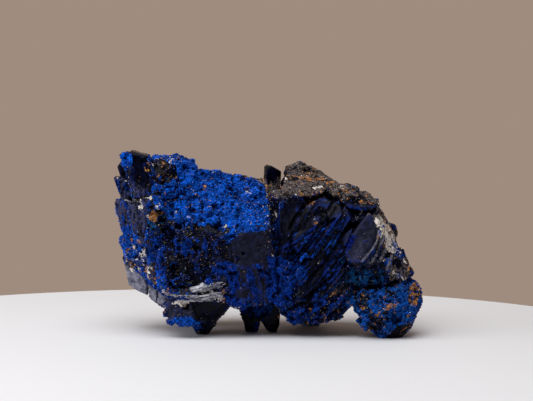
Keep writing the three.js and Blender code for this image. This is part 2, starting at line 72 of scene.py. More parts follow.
# Outlines of the finishes as seen from the front, with x and height on the plane y = 0.
OUTLINES = {
    "blades": [(-23.9, 28.6), (-20.7, 29.0), (-16.5, 27.6), (-12.5, 27.0), (-10.8, 25.5), (-13.5, 23.5),
               (-18.1, 22.0), (-21.5, 22.9), (-24.2, 24.0)],
    "hump": [(-18.9, 26.6), (-16.5, 27.4), (-13.5, 27.4), (-10.8, 25.7), (-12.5, 24.0), (-14.5, 23.0),
             (-17.4, 22.8), (-18.6, 24.4)],
    "left": [(-24.2, 23.5), (-21.5, 23.2), (-18.4, 21.7), (-18.1, 19.4), (-18.7, 13.9), (-18.1, 10.1),
             (-16.6, 7.7), (-18.1, 7.3), (-21.5, 10.5), (-22.9, 14.7), (-24.3, 19.7)],
    "mottle": [(-18.1, 19.4), (-15.3, 17.3), (-11.9, 16.1), (-7.0, 15.6), (-6.1, 13.9), (-6.1, 10.5),
               (-7.0, 7.7), (-8.1, 7.1), (-11.0, 7.1), (-13.5, 5.9), (-15.1, 6.2), (-16.6, 7.7),
               (-18.1, 10.5), (-18.9, 13.9)],
    "left_band": [(-22.9, 14.8), (-19.7, 14.6), (-18.1, 10.5), (-15.7, 7.1), (-15.1, 5.9), (-16.6, 6.2),
                  (-18.5, 7.6), (-21.2, 9.6), (-22.7, 11.8)],
    "grey_facet": [(-22.6, 10.5), (-18.5, 7.1), (-16.6, 6.0), (-15.4, 4.6), (-15.8, 2.4), (-17.4, 3.0),
                   (-19.7, 4.4), (-22.0, 6.4)],
    "lump": [(-15.9, 4.9), (-10.4, 4.6), (-9.7, 3.1), (-10.3, -0.6), (-13.5, -0.4), (-15.8, 1.5)],
    "pyramid": [(-12.2, 4.3), (-5.2, 4.4), (-8.1, 1.2), (-10.3, -1.0), (-10.9, 0.7), (-11.6, 2.3)],
    "stubs": [(-4.4, 3.9), (2.0, 3.9), (2.0, -0.6), (-4.4, -0.6)],
    "ribs": [(-6.7, 10.5), (-4.2, 9.9), (0.1, 10.4), (0.1, 4.6), (-0.9, 3.6), (-3.3, 3.2), (-5.5, 3.6),
             (-6.9, 5.2)],
    "velvet": [(-11.8, 25.6), (-9.0, 24.7), (-6.4, 24.5), (-3.8, 24.3), (-1.4, 23.4), (-0.2, 21.7),
               (0.3, 19.4), (0.4, 17.7), (0.3, 16.4), (-1.5, 16.1), (-3.3, 15.6), (-4.5, 15.2),
               (-5.3, 14.6), (-5.9, 13.8), (-6.6, 14.3), (-6.9, 15.6), (-8.2, 16.1), (-9.8, 16.4),
               (-11.0, 16.1), (-12.6, 16.7), (-13.9, 17.2), (-15.3, 17.5), (-16.4, 18.6), (-17.3, 19.7),
               (-17.9, 20.9), (-18.1, 22.1), (-17.2, 22.9), (-15.9, 22.6), (-14.5, 22.9), (-13.3, 23.8)],
    "dark_face": [(-5.3, 13.9), (-4.2, 15.0), (-1.8, 15.8), (0.1, 16.1), (0.8, 13.9), (1.2, 12.4),
                  (0.4, 10.4), (-2.7, 9.9), (-5.5, 10.2), (-6.1, 12.1)],
    "front_facet": [(0.4, 20.4), (5.0, 20.6), (3.8, 15.8), (1.9, 12.1), (0.8, 13.9)],
    "fan": [(5.0, 20.1), (11.9, 20.9), (13.0, 17.8), (12.0, 12.4), (10.9, 8.5), (7.8, 4.6), (5.0, 3.1),
            (3.5, 4.0), (5.0, 8.4), (2.7, 11.6), (3.8, 15.8)],
    "lens": [(11.9, 16.7), (14.6, 18.0), (16.1, 17.8), (17.0, 15.0), (16.4, 13.2), (15.2, 11.2),
             (13.0, 10.4), (11.8, 12.1)],
    "teal_side": [(11.2, 11.6), (15.2, 11.2), (18.1, 10.5), (18.3, 6.5), (12.7, 6.2), (10.9, 8.0)],
    "top": [(-0.2, 21.4), (2.7, 25.4), (5.0, 26.6), (9.6, 25.7), (13.0, 23.8), (17.4, 20.9), (16.7, 19.2),
            (12.7, 19.7), (9.6, 20.6), (5.0, 20.6), (1.2, 20.4)],
    "back_tips": [(-1.9, 24.4), (-1.0, 23.4), (2.6, 23.9), (3.0, 25.2), (1.5, 26.9), (-1.9, 26.9)],
    "right": [(16.6, 20.1), (18.1, 18.2), (20.6, 14.2), (23.0, 9.3), (20.8, 6.6), (18.1, 8.5),
              (17.0, 12.4), (16.7, 16.3)],
    "lobe": [(2.7, 3.7), (5.0, 4.6), (7.8, 4.6), (12.0, 6.2), (12.8, 4.2), (11.2, 2.6), (8.1, 1.2),
             (5.8, -0.4), (3.5, 0.2), (1.6, 2.6)],
    "royal": [(0.1, 11.2), (1.9, 11.5), (3.8, 10.5), (5.0, 8.4), (4.4, 5.9), (3.5, 4.0), (1.6, 3.7),
              (0.1, 4.6)],
    "foot": [(12.0, 6.0), (18.9, 6.8), (22.3, 7.6), (24.4, 4.2), (24.0, 1.8), (21.3, -1.2), (18.2, -2.0),
             (16.6, -1.5), (13.8, 1.3), (11.9, 3.8)],
}

# What grows in each outline, with the painted edge highlights, grey reflection and violet sheen that lie there. The
# shares go from 0 to 1; what isn't named is 0.
GROWTH = {
    "blades": dict(crust=0.24, lush=0.6, smooth=0.9, streaks=0.3, rim=0.5, rust=0.03),
    "hump": dict(crust=0.40, lush=0.75, chips=0.7, rim=0.3, rust=0.14, chalk=0.10),
    "left": dict(crust=0.30, lush=0.4, smooth=0.7, streaks=0.9, rim=0.7, violet_sheen=1.0),
    "mottle": dict(crust=0.46, lush=0.25, chips=0.9, teal=0.1, rim=0.3),
    "left_band": dict(crust=0.48, lush=0.75, chips=0.7, violet_sheen=0.7, rust=0.28, chalk=0.27),
    "grey_facet": dict(smooth=1.0, streaks=0.2, violet_sheen=0.5, painted_reflection=1.0),
    "lump": dict(crust=0.22, lush=0.4, chips=0.6, rim=0.3, violet_sheen=0.4),
    "pyramid": dict(smooth=1.0),
    "stubs": dict(crust=0.16, smooth=0.9),
    "ribs": dict(crust=0.48, lush=0.2, smooth=0.6, streaks=0.6, rim=0.5, teal=0.2, violet_sheen=0.32),
    "velvet": dict(crust=0.98, lush=1.0, teal=0.08, rust=0.16, chalk=0.16),
    "dark_face": dict(crust=0.14, lush=0.2, smooth=0.8, chips=0.25, violet_sheen=0.26),
    "front_facet": dict(crust=0.16, lush=0.3, smooth=0.9, streaks=0.6, violet_sheen=0.12),
    "fan": dict(crust=0.14, lush=0.60, smooth=0.85, streaks=0.75, rim=0.9, teal=0.2),
    "lens": dict(crust=0.04, smooth=1.0, rim=0.3, violet_sheen=0.42),
    "teal_side": dict(crust=0.46, lush=0.2, teal=0.8, chips=0.6, rim=0.3),
    "top": dict(crust=0.10, dust=0.66, rust=0.21, chalk=0.12, chips=1.0),
    "back_tips": dict(crust=0.06, smooth=0.8),
    "right": dict(crust=0.28, lush=0.5, dust=0.3, rust=0.18, chalk=0.25, chips=0.6),
    "lobe": dict(crust=0.36, lush=0.3, chips=0.6, rust=0.12, teal=0.3, rim=0.5),
    "royal": dict(crust=0.80, lush=0.22, chips=0.5, rim=0.5),
    "foot": dict(crust=0.58, lush=0.75, chips=0.8, teal=0.6, rust=0.17),
}

# Small patches: finish, share, middle (x, height) on the front view, half width and half height, turn.
PATCHES = [
    ("crust", 0.95, (-21.8, 26.3), (0.9, 1.2), 0),
    ("crust", 0.75, (-13.3, 25.8), (1.6, 0.8), -10),
    ("crust", 0.95, (-21.2, 13.2), (1.3, 1.8), 0),
    ("crust", 0.92, (-12.8, 0.9), (2.9, 0.9), -6),
    ("crust", 0.80, (-5.9, 9.4), (1.2, 1.3), 0),
    ("crust", 0.70, (-3.5, 4.2), (3.2, 0.7), 0),
    ("crust", 0.95, (-5.9, 14.8), (0.7, 1.0), 0),
    ("crust", 0.65, (2.7, 19.4), (0.6, 0.8), 0),
    ("crust", 0.55, (20.1, 12.4), (0.9, 1.9), 20),
    ("teal", 0.85, (-17.2, 17.0), (1.6, 2.0), 0),
    ("teal", 0.45, (-4.9, 18.6), (1.6, 1.5), 0),
    ("teal", 0.50, (10.4, 13.9), (1.9, 2.4), -40),
    ("rust", 0.98, (-17.6, 17.6), (0.75, 0.8), 20),
    ("rust", 0.90, (-16.6, 18.1), (0.6, 0.25), 15),
    ("rust", 0.48, (-19.1, 24.7), (1.1, 0.18), 10),
    ("rust", 0.50, (9.9, 5.0), (1.5, 0.4), 62),
    ("rust", 0.68, (22.7, 5.4), (1.0, 1.8), -15),
    ("rust", 0.60, (18.6, 15.8), (0.6, 1.5), 28),
    ("rust", 0.80, (7.5, 16.6), (0.35, 0.25), 0),
    ("rust", 0.62, (6.6, 19.5), (0.8, 0.2), 42),
    ("rust", 0.70, (1.9, 2.1), (0.35, 0.3), 0),
    ("rust", 0.38, (5.6, 23.6), (1.6, 0.7), -20),
    ("rust", 0.42, (9.2, 23.0), (1.6, 0.5), -30),
    ("rust", 0.42, (12.6, 21.6), (1.6, 0.5), -30),
    ("chalk", 1.00, (17.2, 16.9), (0.6, 1.0), 20),
    ("chalk", 0.97, (18.8, 14.2), (1.1, 2.2), 26),
    ("chalk", 0.75, (-14.8, 26.1), (0.5, 0.45), 0),
    ("chalk", 0.65, (-19.2, 12.7), (0.6, 0.45), 0),
    ("chalk", 0.60, (-20.8, 9.3), (0.5, 0.3), 0),
    ("chalk", 0.42, (8.1, 22.0), (1.1, 0.3), 0),
    ("chalk", 0.70, (-3.0, 21.4), (0.8, 0.5), 0),
    ("lush", 0.95, (-21.8, 26.3), (1.2, 1.5), 0),
    ("lush", 0.95, (-21.2, 13.2), (1.5, 2.2), 0),
    ("lush", 0.85, (-12.8, 0.9), (3.2, 1.2), 0),
    ("lush", 0.80, (-5.9, 14.8), (0.8, 1.1), 0),
    ("crust", 0.85, (5.3, 11.3), (1.1, 0.6), 40),
    ("crust", 0.92, (5.1, 9.0), (0.9, 1.3), -30),
    ("crust", 0.90, (2.0, 6.8), (1.3, 1.9), -15),
    ("crust", 0.85, (6.4, 13.9), (2.3, 0.14), 32),
    ("crust", 0.85, (8.8, 14.0), (4.0, 0.15), 54),
    ("crust", 0.75, (10.2, 13.4), (2.0, 0.15), 56),
    ("crust", 0.85, (8.6, 4.9), (1.0, 0.35), 52),
    ("crust", 0.80, (5.0, 2.5), (0.6, 0.3), 10),
    ("crust", 0.80, (9.7, 3.7), (0.8, 0.35), 30),
    ("crust", 0.80, (1.1, 15.8), (0.25, 0.9), 0),
    ("lush", 0.30, (3.4, 8.0), (3.0, 3.6), 0),
    # Faint painted grey reflection on the fan and the lens-shaped face.
    ("painted_reflection", 0.08, (5.2, 17.2), (3.0, 1.5), 58),
    ("painted_reflection", 0.08, (8.6, 18.3), (2.2, 1.2), 52),
    ("painted_reflection", 0.09, (11.0, 18.6), (1.8, 1.0), 30),
    ("painted_reflection", 0.10, (15.4, 14.4), (2.4, 0.9), 62),
    ("rust", 0.36, (18.4, 3.2), (2.6, 0.45), 38),
    ("crust", 0.88, (20.7, 2.4), (2.6, 1.6), 24),
    ("bare", 0.95, (20.8, -0.2), (2.4, 0.7), 34),
    ("smooth", 1.00, (20.8, -0.2), (2.4, 0.8), 34),
    ("crust", 0.20, (13.2, 12.6), (0.5, 1.7), -25),
    # Painted violet sheen.
    ("violet_sheen", 0.85, (13.8, 11.8), (1.2, 1.5), -20),
    ("rough", 0.95, (0.9, 16.4), (1.1, 5.2), 0),
    ("rough", 0.80, (-1.4, 18.9), (1.6, 0.8), 10),
    ("rough", 0.80, (4.6, 20.3), (3.2, 0.6), 4),
    ("rough", 0.80, (-17.6, 22.0), (1.0, 2.6), 8),
    ("rough", 0.80, (-20.6, 22.0), (1.4, 0.7), 0),
    ("crust", 0.42, (0.9, 16.4), (1.1, 5.2), 0),
    ("chalk", 0.22, (0.9, 16.4), (1.1, 5.2), 0),
    ("pit", 0.65, (20.7, 13.7), (1.1, 4.2), 30),
    ("bare", 0.75, (-12.7, 8.2), (2.9, 1.5), -15),
    ("bare", 0.60, (-15.6, 24.5), (1.5, 1.1), -20),
    ("bare", 0.80, (-13.0, 6.2), (2.6, 0.9), -8),
    ("bare", 0.80, (-9.0, 2.6), (2.2, 1.4), 20),
    ("bare", 0.80, (17.0, 12.0), (2.6, 1.0), 56),
    # Painted violet sheen on the bared patch.
    ("violet_sheen", 0.40, (17.0, 12.0), (2.6, 1.0), 56),
    ("crust", 0.62, (-1.4, 3.1), (3.0, 1.0), 0),
    ("teal", 0.60, (-1.2, 3.2), (3.0, 1.2), 0),
    ("bare", 0.40, (-18.0, 9.6), (1.2, 1.1), -50),
    ("chalk", 0.40, (-20.0, 11.5), (1.8, 0.7), -50),
    ("chalk", 0.30, (-17.4, 7.6), (1.8, 0.4), -50),
    ("chalk", 0.45, (-19.6, 19.0), (0.5, 1.2), 10),
    ("chalk", 0.42, (-20.3, 20.2), (1.9, 0.35), 8),
    ("chalk", 0.50, (-13.4, 4.2), (1.6, 0.6), 0),
    ("crust", 0.80, (12.6, 13.4), (1.6, 0.5), 62),
    ("crust", 0.72, (-2.4, 15.5), (2.9, 0.35), 8),
    ("lush", 0.90, (-2.4, 15.6), (2.9, 0.5), 8),
    ("bare", 0.45, (-16.2, 21.4), (2.3, 1.2), 0),
    ("bare", 0.45, (0.7, 18.4), (0.8, 2.4), 0),
    ("bare", 0.40, (-12.0, 18.6), (1.0, 0.8), 20),
    ("bare", 0.95, (5.8, 6.2), (1.9, 1.1), 55),
    ("bare", 0.80, (7.4, 8.4), (3.2, 1.1), 58),
    ("bare", 0.90, (9.8, 18.2), (2.6, 0.8), 50),
    ("bare", 0.90, (6.0, 16.6), (1.2, 2.2), -35),
    ("bare", 0.85, (3.2, 17.6), (1.0, 2.4), 0),
    ("bare", 0.95, (-19.3, 23.4), (1.0, 1.9), 10),
    ("bare", 0.90, (-19.6, 27.2), (1.4, 0.7), -15),
    ("bare", 0.85, (-13.8, 9.9), (1.7, 1.9), 10),
    ("bare", 0.75, (-7.6, 15.6), (2.2, 0.9), -5),
    ("bare", 0.55, (-10.8, 15.8), (1.6, 0.8), 0),
    ("bare", 0.80, (-6.6, 12.4), (1.0, 1.5), 0),
    ("bare", 0.75, (-11.0, 3.0), (1.6, 0.8), 20),
    ("bare", 0.80, (14.2, 19.9), (2.2, 0.6), -20),
    ("pit", 0.7, (-18.6, 6.2), (0.16, 1.3), 4),
    ("pit", 0.6, (-17.0, 5.5), (0.14, 1.0), -12),
    ("pit", 1.0, (-15.3, 14.9), (1.0, 1.1), 0),
    ("pit", 0.45, (-14.2, 27.1), (2.8, 0.9), -8),
    ("pit", 0.9, (-7.3, 16.1), (0.8, 0.65), 0),
    ("pit", 0.6, (-5.6, 21.8), (0.4, 0.3), 0),
    ("pit", 0.6, (-4.9, 20.9), (0.3, 0.3), 0),
    ("pit", 0.7, (-16.3, 17.3), (0.5, 0.5), 0),
    ("pit", 0.8, (-13.6, 16.2), (0.9, 0.5), 0),
    ("pit", 0.7, (8.1, 18.3), (0.6, 0.9), -35),
    ("dust", 0.60, (20.4, 9.0), (1.8, 2.0), 0),
    ("dust", 0.92, (1.8, 22.2), (2.2, 0.8), 8),
]
# Stacks of thin sheets, painted silvery as a reflection: from, to, height of the stack, number of sheets and their
# thickness.
LEDGES = [
    ((-10.9, -9.7, 7.5), (-7.0, -9.9, 8.4), 0.9, 46, 0.10),
    ((-10.3, -9.7, 6.4), (-7.0, -9.9, 6.8), 0.7, 34, 0.09),
    ((-15.2, -9.3, 7.0), (-10.5, -9.9, 6.4), 0.5, 30, 0.07),
    ((-12.4, -9.6, 6.0), (-8.8, -10.0, 6.1), 0.3, 18, 0.06),
]
# Three of the finishes are painted light: the edge highlight, the grey reflection and the violet sheen.
FINISHES = ("crust", "lush", "teal", "rust", "chalk", "dust", "violet_sheen", "painted_reflection", "rim", "smooth", "chips",
            "streaks", "pit", "bare", "rough", "raised", "crack")
# Raised rims of thin plates beside the lens-shaped face, painted grey as a reflection: points on the front view, and
# half width.
RIMS = [
    ([(17.2, 15.5), (16.9, 13.8), (16.2, 12.5), (15.4, 11.5), (14.6, 10.6)], 0.17),
    ([(17.9, 14.6), (17.6, 13.6), (17.1, 12.4), (16.5, 11.4), (16.0, 10.4)], 0.30),
    ([(18.1, 12.4), (17.7, 11.5), (17.3, 10.7)], 0.20),
    ([(19.2, 11.4), (18.7, 10.2), (18.5, 9.4)], 0.22),
    ([(7.9, 19.1), (7.4, 18.4), (7.25, 17.7), (7.4, 17.0)], 0.03),
]
# Cracks between the plates of the fan, cut into the relief and darkened with painted shade: points on the front view,
# and half width.
CRACKS = [
    ([(9.4, 21.2), (7.4, 20.6), (5.7, 19.4), (4.3, 17.5), (3.4, 15.7)], 0.22),
    ([(9.4, 17.2), (7.9, 16.1), (6.3, 14.9), (4.4, 13.4), (2.7, 12.5)], 0.12),
    ([(10.3, 17.3), (8.6, 15.9), (7.0, 13.7), (5.0, 11.4), (3.2, 8.5)], 0.12),
]


def ramp(value, low, high):
    """0 below low, 1 above high, and an even curve between them."""
    share = np.clip((value - low) / (high - low), 0, 1)
    return share * share * (3 - 2 * share)


def unit(vectors):
    """The same directions, one long."""
    return vectors / np.maximum(np.linalg.norm(vectors, axis=-1, keepdims=True), 1e-9)


def dice(boxes, seed):
    """Three numbers from 0 to 1 for each numbered box of space, always the same for the same box."""
    whole = boxes.astype(np.int64)
    mixed = whole[..., 0] * 73856093 ^ whole[..., 1] * 19349663 ^ whole[..., 2] * 83492791
    mixed = (mixed ^ seed * 40503) & 0xFFFFFFFF
    throws = []
    for _ in range(3):
        mixed = (mixed ^ mixed >> 15) * 73244475 & 0xFFFFFFFF
        mixed = mixed ^ mixed >> 16
        throws.append((mixed & 0xFFFF) / 65535)
    return np.stack(throws, axis=-1)


def clouds(points, size, seed):
    """Soft noise from 0 to 1, with blotches about as wide as size."""
    scaled = points / size
    base = np.floor(scaled)
    part = ramp(scaled - base, 0, 1)
    total = np.zeros(len(points))
    for corner in np.ndindex(2, 2, 2):
        near = np.where(corner, part, 1 - part).prod(axis=1)
        total += near * dice(base + corner, seed)[:, 0]
    return total


def rough_clouds(points, size, seed, layers=3):
    """Noise from 0 to 1 that has finer blotches on the wide ones."""
    total = np.zeros(len(points))
    for layer in range(layers):
        total += clouds(points, size / 2 ** layer, seed + 31 * layer) / 2 ** layer
    return total / (2 - 0.5 ** (layers - 1))


def stretched(points, grain, length, width):
    """Points squeezed along the grain, so that noise on them makes streaks of that length and width."""
    reach = points @ grain
    return points - np.outer(reach * (1 - width / length), grain)


def clusters(points, size, seed):
    """For each point, the nearest of the seeds strewn in space: its distance, the gap to the next one,
    the way from it, and three numbers of its own. Distances are in sizes."""
    scaled = points / size
    base = np.floor(scaled)
    nearest = np.full(len(points), 9.0)
    second = np.full(len(points), 9.0)
    way = np.zeros_like(points)
    own = np.zeros_like(points)
    for step in np.ndindex(3, 3, 3):
        box = base + step - 1
        apart = scaled - box - dice(box, seed)
        distance = np.linalg.norm(apart, axis=1)
        closer = distance < nearest
        second = np.where(closer, nearest, np.minimum(second, distance))
        nearest = np.where(closer, distance, nearest)
        way[closer] = apart[closer]
        own[closer] = dice(box[closer], seed + 7)
    return nearest, second - nearest, way, own


def facets(points, size, seed):
    """Heights from about -0.5 to 0.5 of a surface broken into flat chips that each tilt their own way."""
    _, _, way, own = clusters(points, size, seed)
    tilt = own - 0.5
    return (way * tilt).sum(axis=1) + (own[:, 0] - 0.5) * 0.7


def front_view(points):
    """Where each point is seen from the front, as x and height on the plane y = 0."""
    nearer = -EYE[1] / (points[:, 1] - EYE[1])
    return EYE[0] + (points[:, 0] - EYE[0]) * nearer, EYE[2] + (points[:, 2] - EYE[2]) * nearer


def depth_inside(outline, x, z):
    """How far inside the outline each point of the front view is; below zero outside it."""
    nearest = np.full(len(x), 1e9)
    odd = np.zeros(len(x), bool)
    for (ax, az), (bx, bz) in zip(outline, outline[1:] + outline[:1]):
        dx, dz = bx - ax, bz - az
        along = np.clip(((x - ax) * dx + (z - az) * dz) / (dx * dx + dz * dz), 0, 1)
        nearest = np.minimum(nearest, np.hypot(x - ax - along * dx, z - az - along * dz))
        if dz:
            odd ^= ((az > z) != (bz > z)) & (x < ax + (z - az) * dx / dz)
    return np.where(odd, nearest, -nearest)


def patch_share(middle, half, turn, x, z):
    """1 in the middle of a small oval patch, and 0 from its rim on."""
    angle = math.radians(turn)
    across = (x - middle[0]) * math.cos(angle) + (z - middle[1]) * math.sin(angle)
    up = (z - middle[1]) * math.cos(angle) - (x - middle[0]) * math.sin(angle)
    return ramp(1.35 - np.hypot(across / half[0], up / half[1]), 0, 0.7)


def wild_growth(points, normals):
    """The finishes where the photograph shows nothing: patches of the same kinds, placed by noise."""
    share = {name: np.zeros(len(points)) for name in FINISHES}
    share["crust"] = 0.08 + 0.82 * ramp(rough_clouds(points, 8.5, 101), 0.48, 0.60)
    share["smooth"] = 0.95 * ramp(rough_clouds(points, 7.0, 106), 0.40, 0.52) * (share["crust"] < 0.4)
    share["lush"] = 0.25 + 0.7 * ramp(clouds(points, 11.0, 109), 0.45, 0.65)
    # Painted edge highlight, placed by noise.
    share["rim"] = 0.8 * ramp(clouds(points, 6.0, 110), 0.35, 0.55)
    share["teal"] = 0.7 * ramp(rough_clouds(points, 7.0, 102), 0.54, 0.68)
    share["rust"] = (0.44 - 0.16 * share["smooth"]) * ramp(rough_clouds(points, 5.5, 103), 0.54, 0.70)
    share["chalk"] = (0.42 - 0.14 * share["smooth"]) * ramp(rough_clouds(points, 6.5, 104), 0.60, 0.74)
    share["dust"] = 0.7 * ramp(rough_clouds(points, 9.0, 105), 0.50, 0.62) * ramp(normals[:, 2], 0.2, 0.8)
    share["chips"] = 0.8 - 0.75 * share["smooth"]
    share["streaks"] = 0.9 * ramp(clouds(points, 7.0, 107), 0.35, 0.6) * (1 - 0.6 * share["smooth"])
    # Painted violet sheen, placed by noise.
    share["violet_sheen"] = 0.30 * ramp(clouds(points, 9.0, 108), 0.5, 0.8)
    return share


def along_lines(lines, x, z, ragged):
    """1 on the lines, as wide as they say, and 0 away from them."""
    share = np.zeros(len(x))
    for line, wide in lines:
        apart = 0.12 * ragged - depth_inside(line + line[-2:0:-1], x, z)
        share = np.maximum(share, ramp(apart, wide + 0.1, wide - 0.1))
    return share


def growth(points, normals):
    """How much of each finish every point of the skin carries."""
    share = wild_growth(points, normals)
    x, z = front_view(points)
    wavy = points[:, 1] + 7 * (rough_clouds(points, 4.0, 121) - 0.5)
    turned = ramp(points[:, 0], 14.0, 16.0) * ramp(wavy, -3.2, -0.6)
    share["seen"] = facing = ramp(0.45 * normals[:, 2] - normals[:, 1], -0.10, 0.18) * (1 - turned)
    ragged = 1.3 * (rough_clouds(points, 1.8, 120) - 0.5)
    for name, outline in OUTLINES.items():
        inside = facing * ramp(depth_inside(outline, x, z) + ragged, -0.25, 0.25)
        if inside.max() <= 0:
            continue
        for finish in FINISHES:
            wanted = GROWTH[name].get(finish, 0)
            share[finish] += (wanted - share[finish]) * inside
    for finish, amount, middle, half, turn in PATCHES:
        inside = facing * patch_share(middle, half, turn, x + 0.4 * ragged, z - 0.3 * ragged)
        share[finish] += np.maximum(amount - share[finish], 0) * inside
    share["raised"] = facing * along_lines(RIMS, x, z, ragged)
    share["crack"] = facing * along_lines(CRACKS, x, z, ragged)
    # The raised rims take the painted grey reflection.
    share["painted_reflection"] = np.maximum(share["painted_reflection"], 0.95 * share["raised"])
    for finish in ("crust", "rim", "dust", "teal", "chalk"):
        share[finish] *= 1 - np.maximum(share["bare"] * (finish != "chalk"), share["raised"])
        share[finish] *= 1 - share["crack"]
    share["smooth"] *= 1 - share["rough"]
    share["chips"] = np.maximum(share["chips"], share["rough"])
    return share


def specks(share, noise, crisp=7.0):
    """A share turned into speckles: about 1 on the specks and 0 between them."""
    return np.clip(0.5 + (noise - 0.5 + (share - 0.5) * 0.62) * crisp, 0, 1)


def crust_cover(points, share):
    """How far the crust covers each point: fine specks, which run along the plates where there are any."""
    plain = 0.45 * rough_clouds(points, 0.62, 160) + 0.55 * rough_clouds(points, 1.8, 165)
    right = points[:, 0] > 0.7
    along = np.where(right[:, None], stretched(points, RIGHT_GRAIN, 4.0, 0.6), stretched(points, LEFT_GRAIN, 4.0, 0.6))
    drawn = 0.5 * rough_clouds(along, 0.6, 164) + 0.5 * rough_clouds(points, 2.2, 166)
    streaky = ramp(share["streaks"], 0.2, 0.5)
    return specks(share["crust"], 0.5 + 1.35 * (plain + (drawn - plain) * streaky - 0.5))


def grain_of(points):
    """The way the plates run: steep on the left half, and along the fan on the right half."""
    right = ramp(points[:, 0] + 0.5 * (clouds(points, 5.0, 130) - 0.5), 0.2, 1.2)[:, None]
    return unit(LEFT_GRAIN * (right - 1) + RIGHT_GRAIN * right)


def streak_height(points, length, width, seed):
    """Heights from 0 to 1 of long steps that follow the plates of each half."""
    steep = clouds(stretched(points, LEFT_GRAIN, length, width), width, seed)
    slanted = clouds(stretched(points, RIGHT_GRAIN, length, width), width, seed)
    height = np.where(points[:, 0] > 0.7, slanted, steep)
    return 0.5 * height + 0.5 * np.round(height * 5) / 5


def relief(points, share, covered, bulge):
    """How far each point of the skin moves outwards, in mm."""
    plain = 1 - share["smooth"]
    near, gap, _, _ = clusters(points, 0.95, 141)
    clumps = np.maximum(0, 1 - near ** 2) - 1.6 * ramp(gap, 0.14, 0.0)
    fine_grains = np.maximum(0, 1 - clusters(points, 0.42, 142)[0] ** 2)
    pores = ramp(rough_clouds(points, 0.9, 143), 0.43, 0.33)
    height = covered * (0.02 + 0.11 * clumps + 0.08 * fine_grains - 0.70 * pores)
    height += (plain - 0.35 * covered) * 0.55 * (clouds(points, 2.4, 144) - 0.5)
    height += share["chips"] * (0.24 * facets(points, 1.5, 145) + 0.17 * facets(points, 0.7, 146))
    height += share["streaks"] * 0.26 * (streak_height(points, 6.0, 0.75, 147) - 0.5)
    height += share["streaks"] * 0.13 * (streak_height(points, 3.5, 0.36, 148) - 0.5)
    height += share["smooth"] * 0.07 * (streak_height(points, 5.0, 1.2, 149) - 0.5)
    height += 0.34 * share["raised"] - 1.3 * share["pit"] - 0.8 * share["crack"]
    broken = ramp(rough_clouds(points, 1.1, 150), 0.47, 0.60)
    height -= np.clip(bulge, 0, 1) * 0.26 * broken * (1 - 0.8 * share["smooth"])
    return height * ramp(points[:, 2], 0.05, 0.7)


def arrays_of(mesh):
    """Points in mm, normals, and the pairs of points that share an edge."""
    points = np.empty(len(mesh.vertices) * 3)
    normals = np.empty(len(mesh.vertices) * 3)
    edges = np.empty(len(mesh.edges) * 2, np.int32)
    mesh.vertices.foreach_get("co", points)
    mesh.vertex_normals.foreach_get("vector", normals)
    mesh.edges.foreach_get("vertices", edges)
    return points.reshape(-1, 3) / MM, normals.reshape(-1, 3), edges.reshape(-1, 2)


def neighbour_mean(values, edges):
    """The mean of each point's neighbours."""
    count = np.bincount(edges.ravel(), minlength=len(values))
    total = np.zeros_like(values)
    for column in range(values.shape[1]):
        total[:, column] += np.bincount(edges[:, 0], values[edges[:, 1], column], len(values))
        total[:, column] += np.bincount(edges[:, 1], values[edges[:, 0], column], len(values))
    return total / np.maximum(count, 1)[:, None]


def bulge_of(points, normals, edges, reach):
    """How far each point stands above its neighbours: above 0 on edges, below 0 in creases."""
    around = points
    for _ in range(reach):
        around = neighbour_mean(around, edges)
    return ((points - around) * normals).sum(axis=1)


def keep_in_box(points):
    """Points held inside the solid's box, on or above the surface that the cluster rests on."""
    low, high = np.array(cad_box[0]) / MM, np.array(cad_box[1]) / MM
    return np.clip(points, low + 0.002, high - 0.002)


def applied(piece, kind, **settings):
    """The piece's mesh with one modifier worked into it."""
    modifier = piece.modifiers.new(kind, kind)
    for name, value in settings.items():
        setattr(modifier, name, value)
    bpy.context.view_layer.update()
    finished = bpy.data.meshes.new_from_object(piece.evaluated_get(bpy.context.evaluated_depsgraph_get()))
    piece.modifiers.clear()
    spare = piece.data
    piece.data = finished
    bpy.data.meshes.remove(spare)


def new_piece(name, mesh):
    """A new object for a mesh, at the origin."""
    piece = bpy.data.objects.new(name, mesh)
    bpy.context.collection.objects.link(piece)
    return piece


def record_share(mesh, name, values):
    """Keeps one number per point with the mesh, for its material."""
    layer = mesh.attributes.new(name, "FLOAT", "POINT")
    layer.data.foreach_set("value", np.asarray(values, np.float32))


def merged_copy(node, name):
    """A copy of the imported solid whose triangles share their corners."""
    bm = bmesh.new()
    bm.from_mesh(node.data)
    bmesh.ops.remove_doubles(bm, verts=bm.verts, dist=1e-7)
    mesh = bpy.data.meshes.new(name)
    bm.to_mesh(mesh)
    bm.free()
    mesh.materials.clear()
    return mesh


def make_skin():
    """The cluster's skin: the solid in fine meshes, with the relief of its plates, chips and crusts."""
    solid = new_piece("solid_copy", merged_copy(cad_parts["azurite_cluster"], "solid_copy"))
    skin = new_piece("azurite_skin", solid.data.copy())
    applied(skin, "REMESH", mode="VOXEL", voxel_size=SKIN_STEP * MM, adaptivity=0.0)
    applied(skin, "SHRINKWRAP", target=solid, wrap_method="NEAREST_SURFACEPOINT")
    bpy.data.objects.remove(solid)
    points, normals, edges = arrays_of(skin.data)
    share = growth(points, normals)
    covered = crust_cover(points, share)
    bulge = bulge_of(points, normals, edges, 3) / 0.12
    moved = keep_in_box(points + normals * relief(points, share, covered, bulge)[:, None])
    skin.data.vertices.foreach_set("co", (moved * MM).ravel())
    skin.data.update()
    triangles = sum(len(face.vertices) - 2 for face in skin.data.polygons)
    applied(skin, "DECIMATE", decimate_type="COLLAPSE", ratio=min(1.0, SKIN_TRIANGLES / triangles))
    applied(skin, "TRIANGULATE")
    points, _, _ = arrays_of(skin.data)
    skin.data.vertices.foreach_set("co", (keep_in_box(points) * MM).ravel())
    skin.data.update()
    return skin


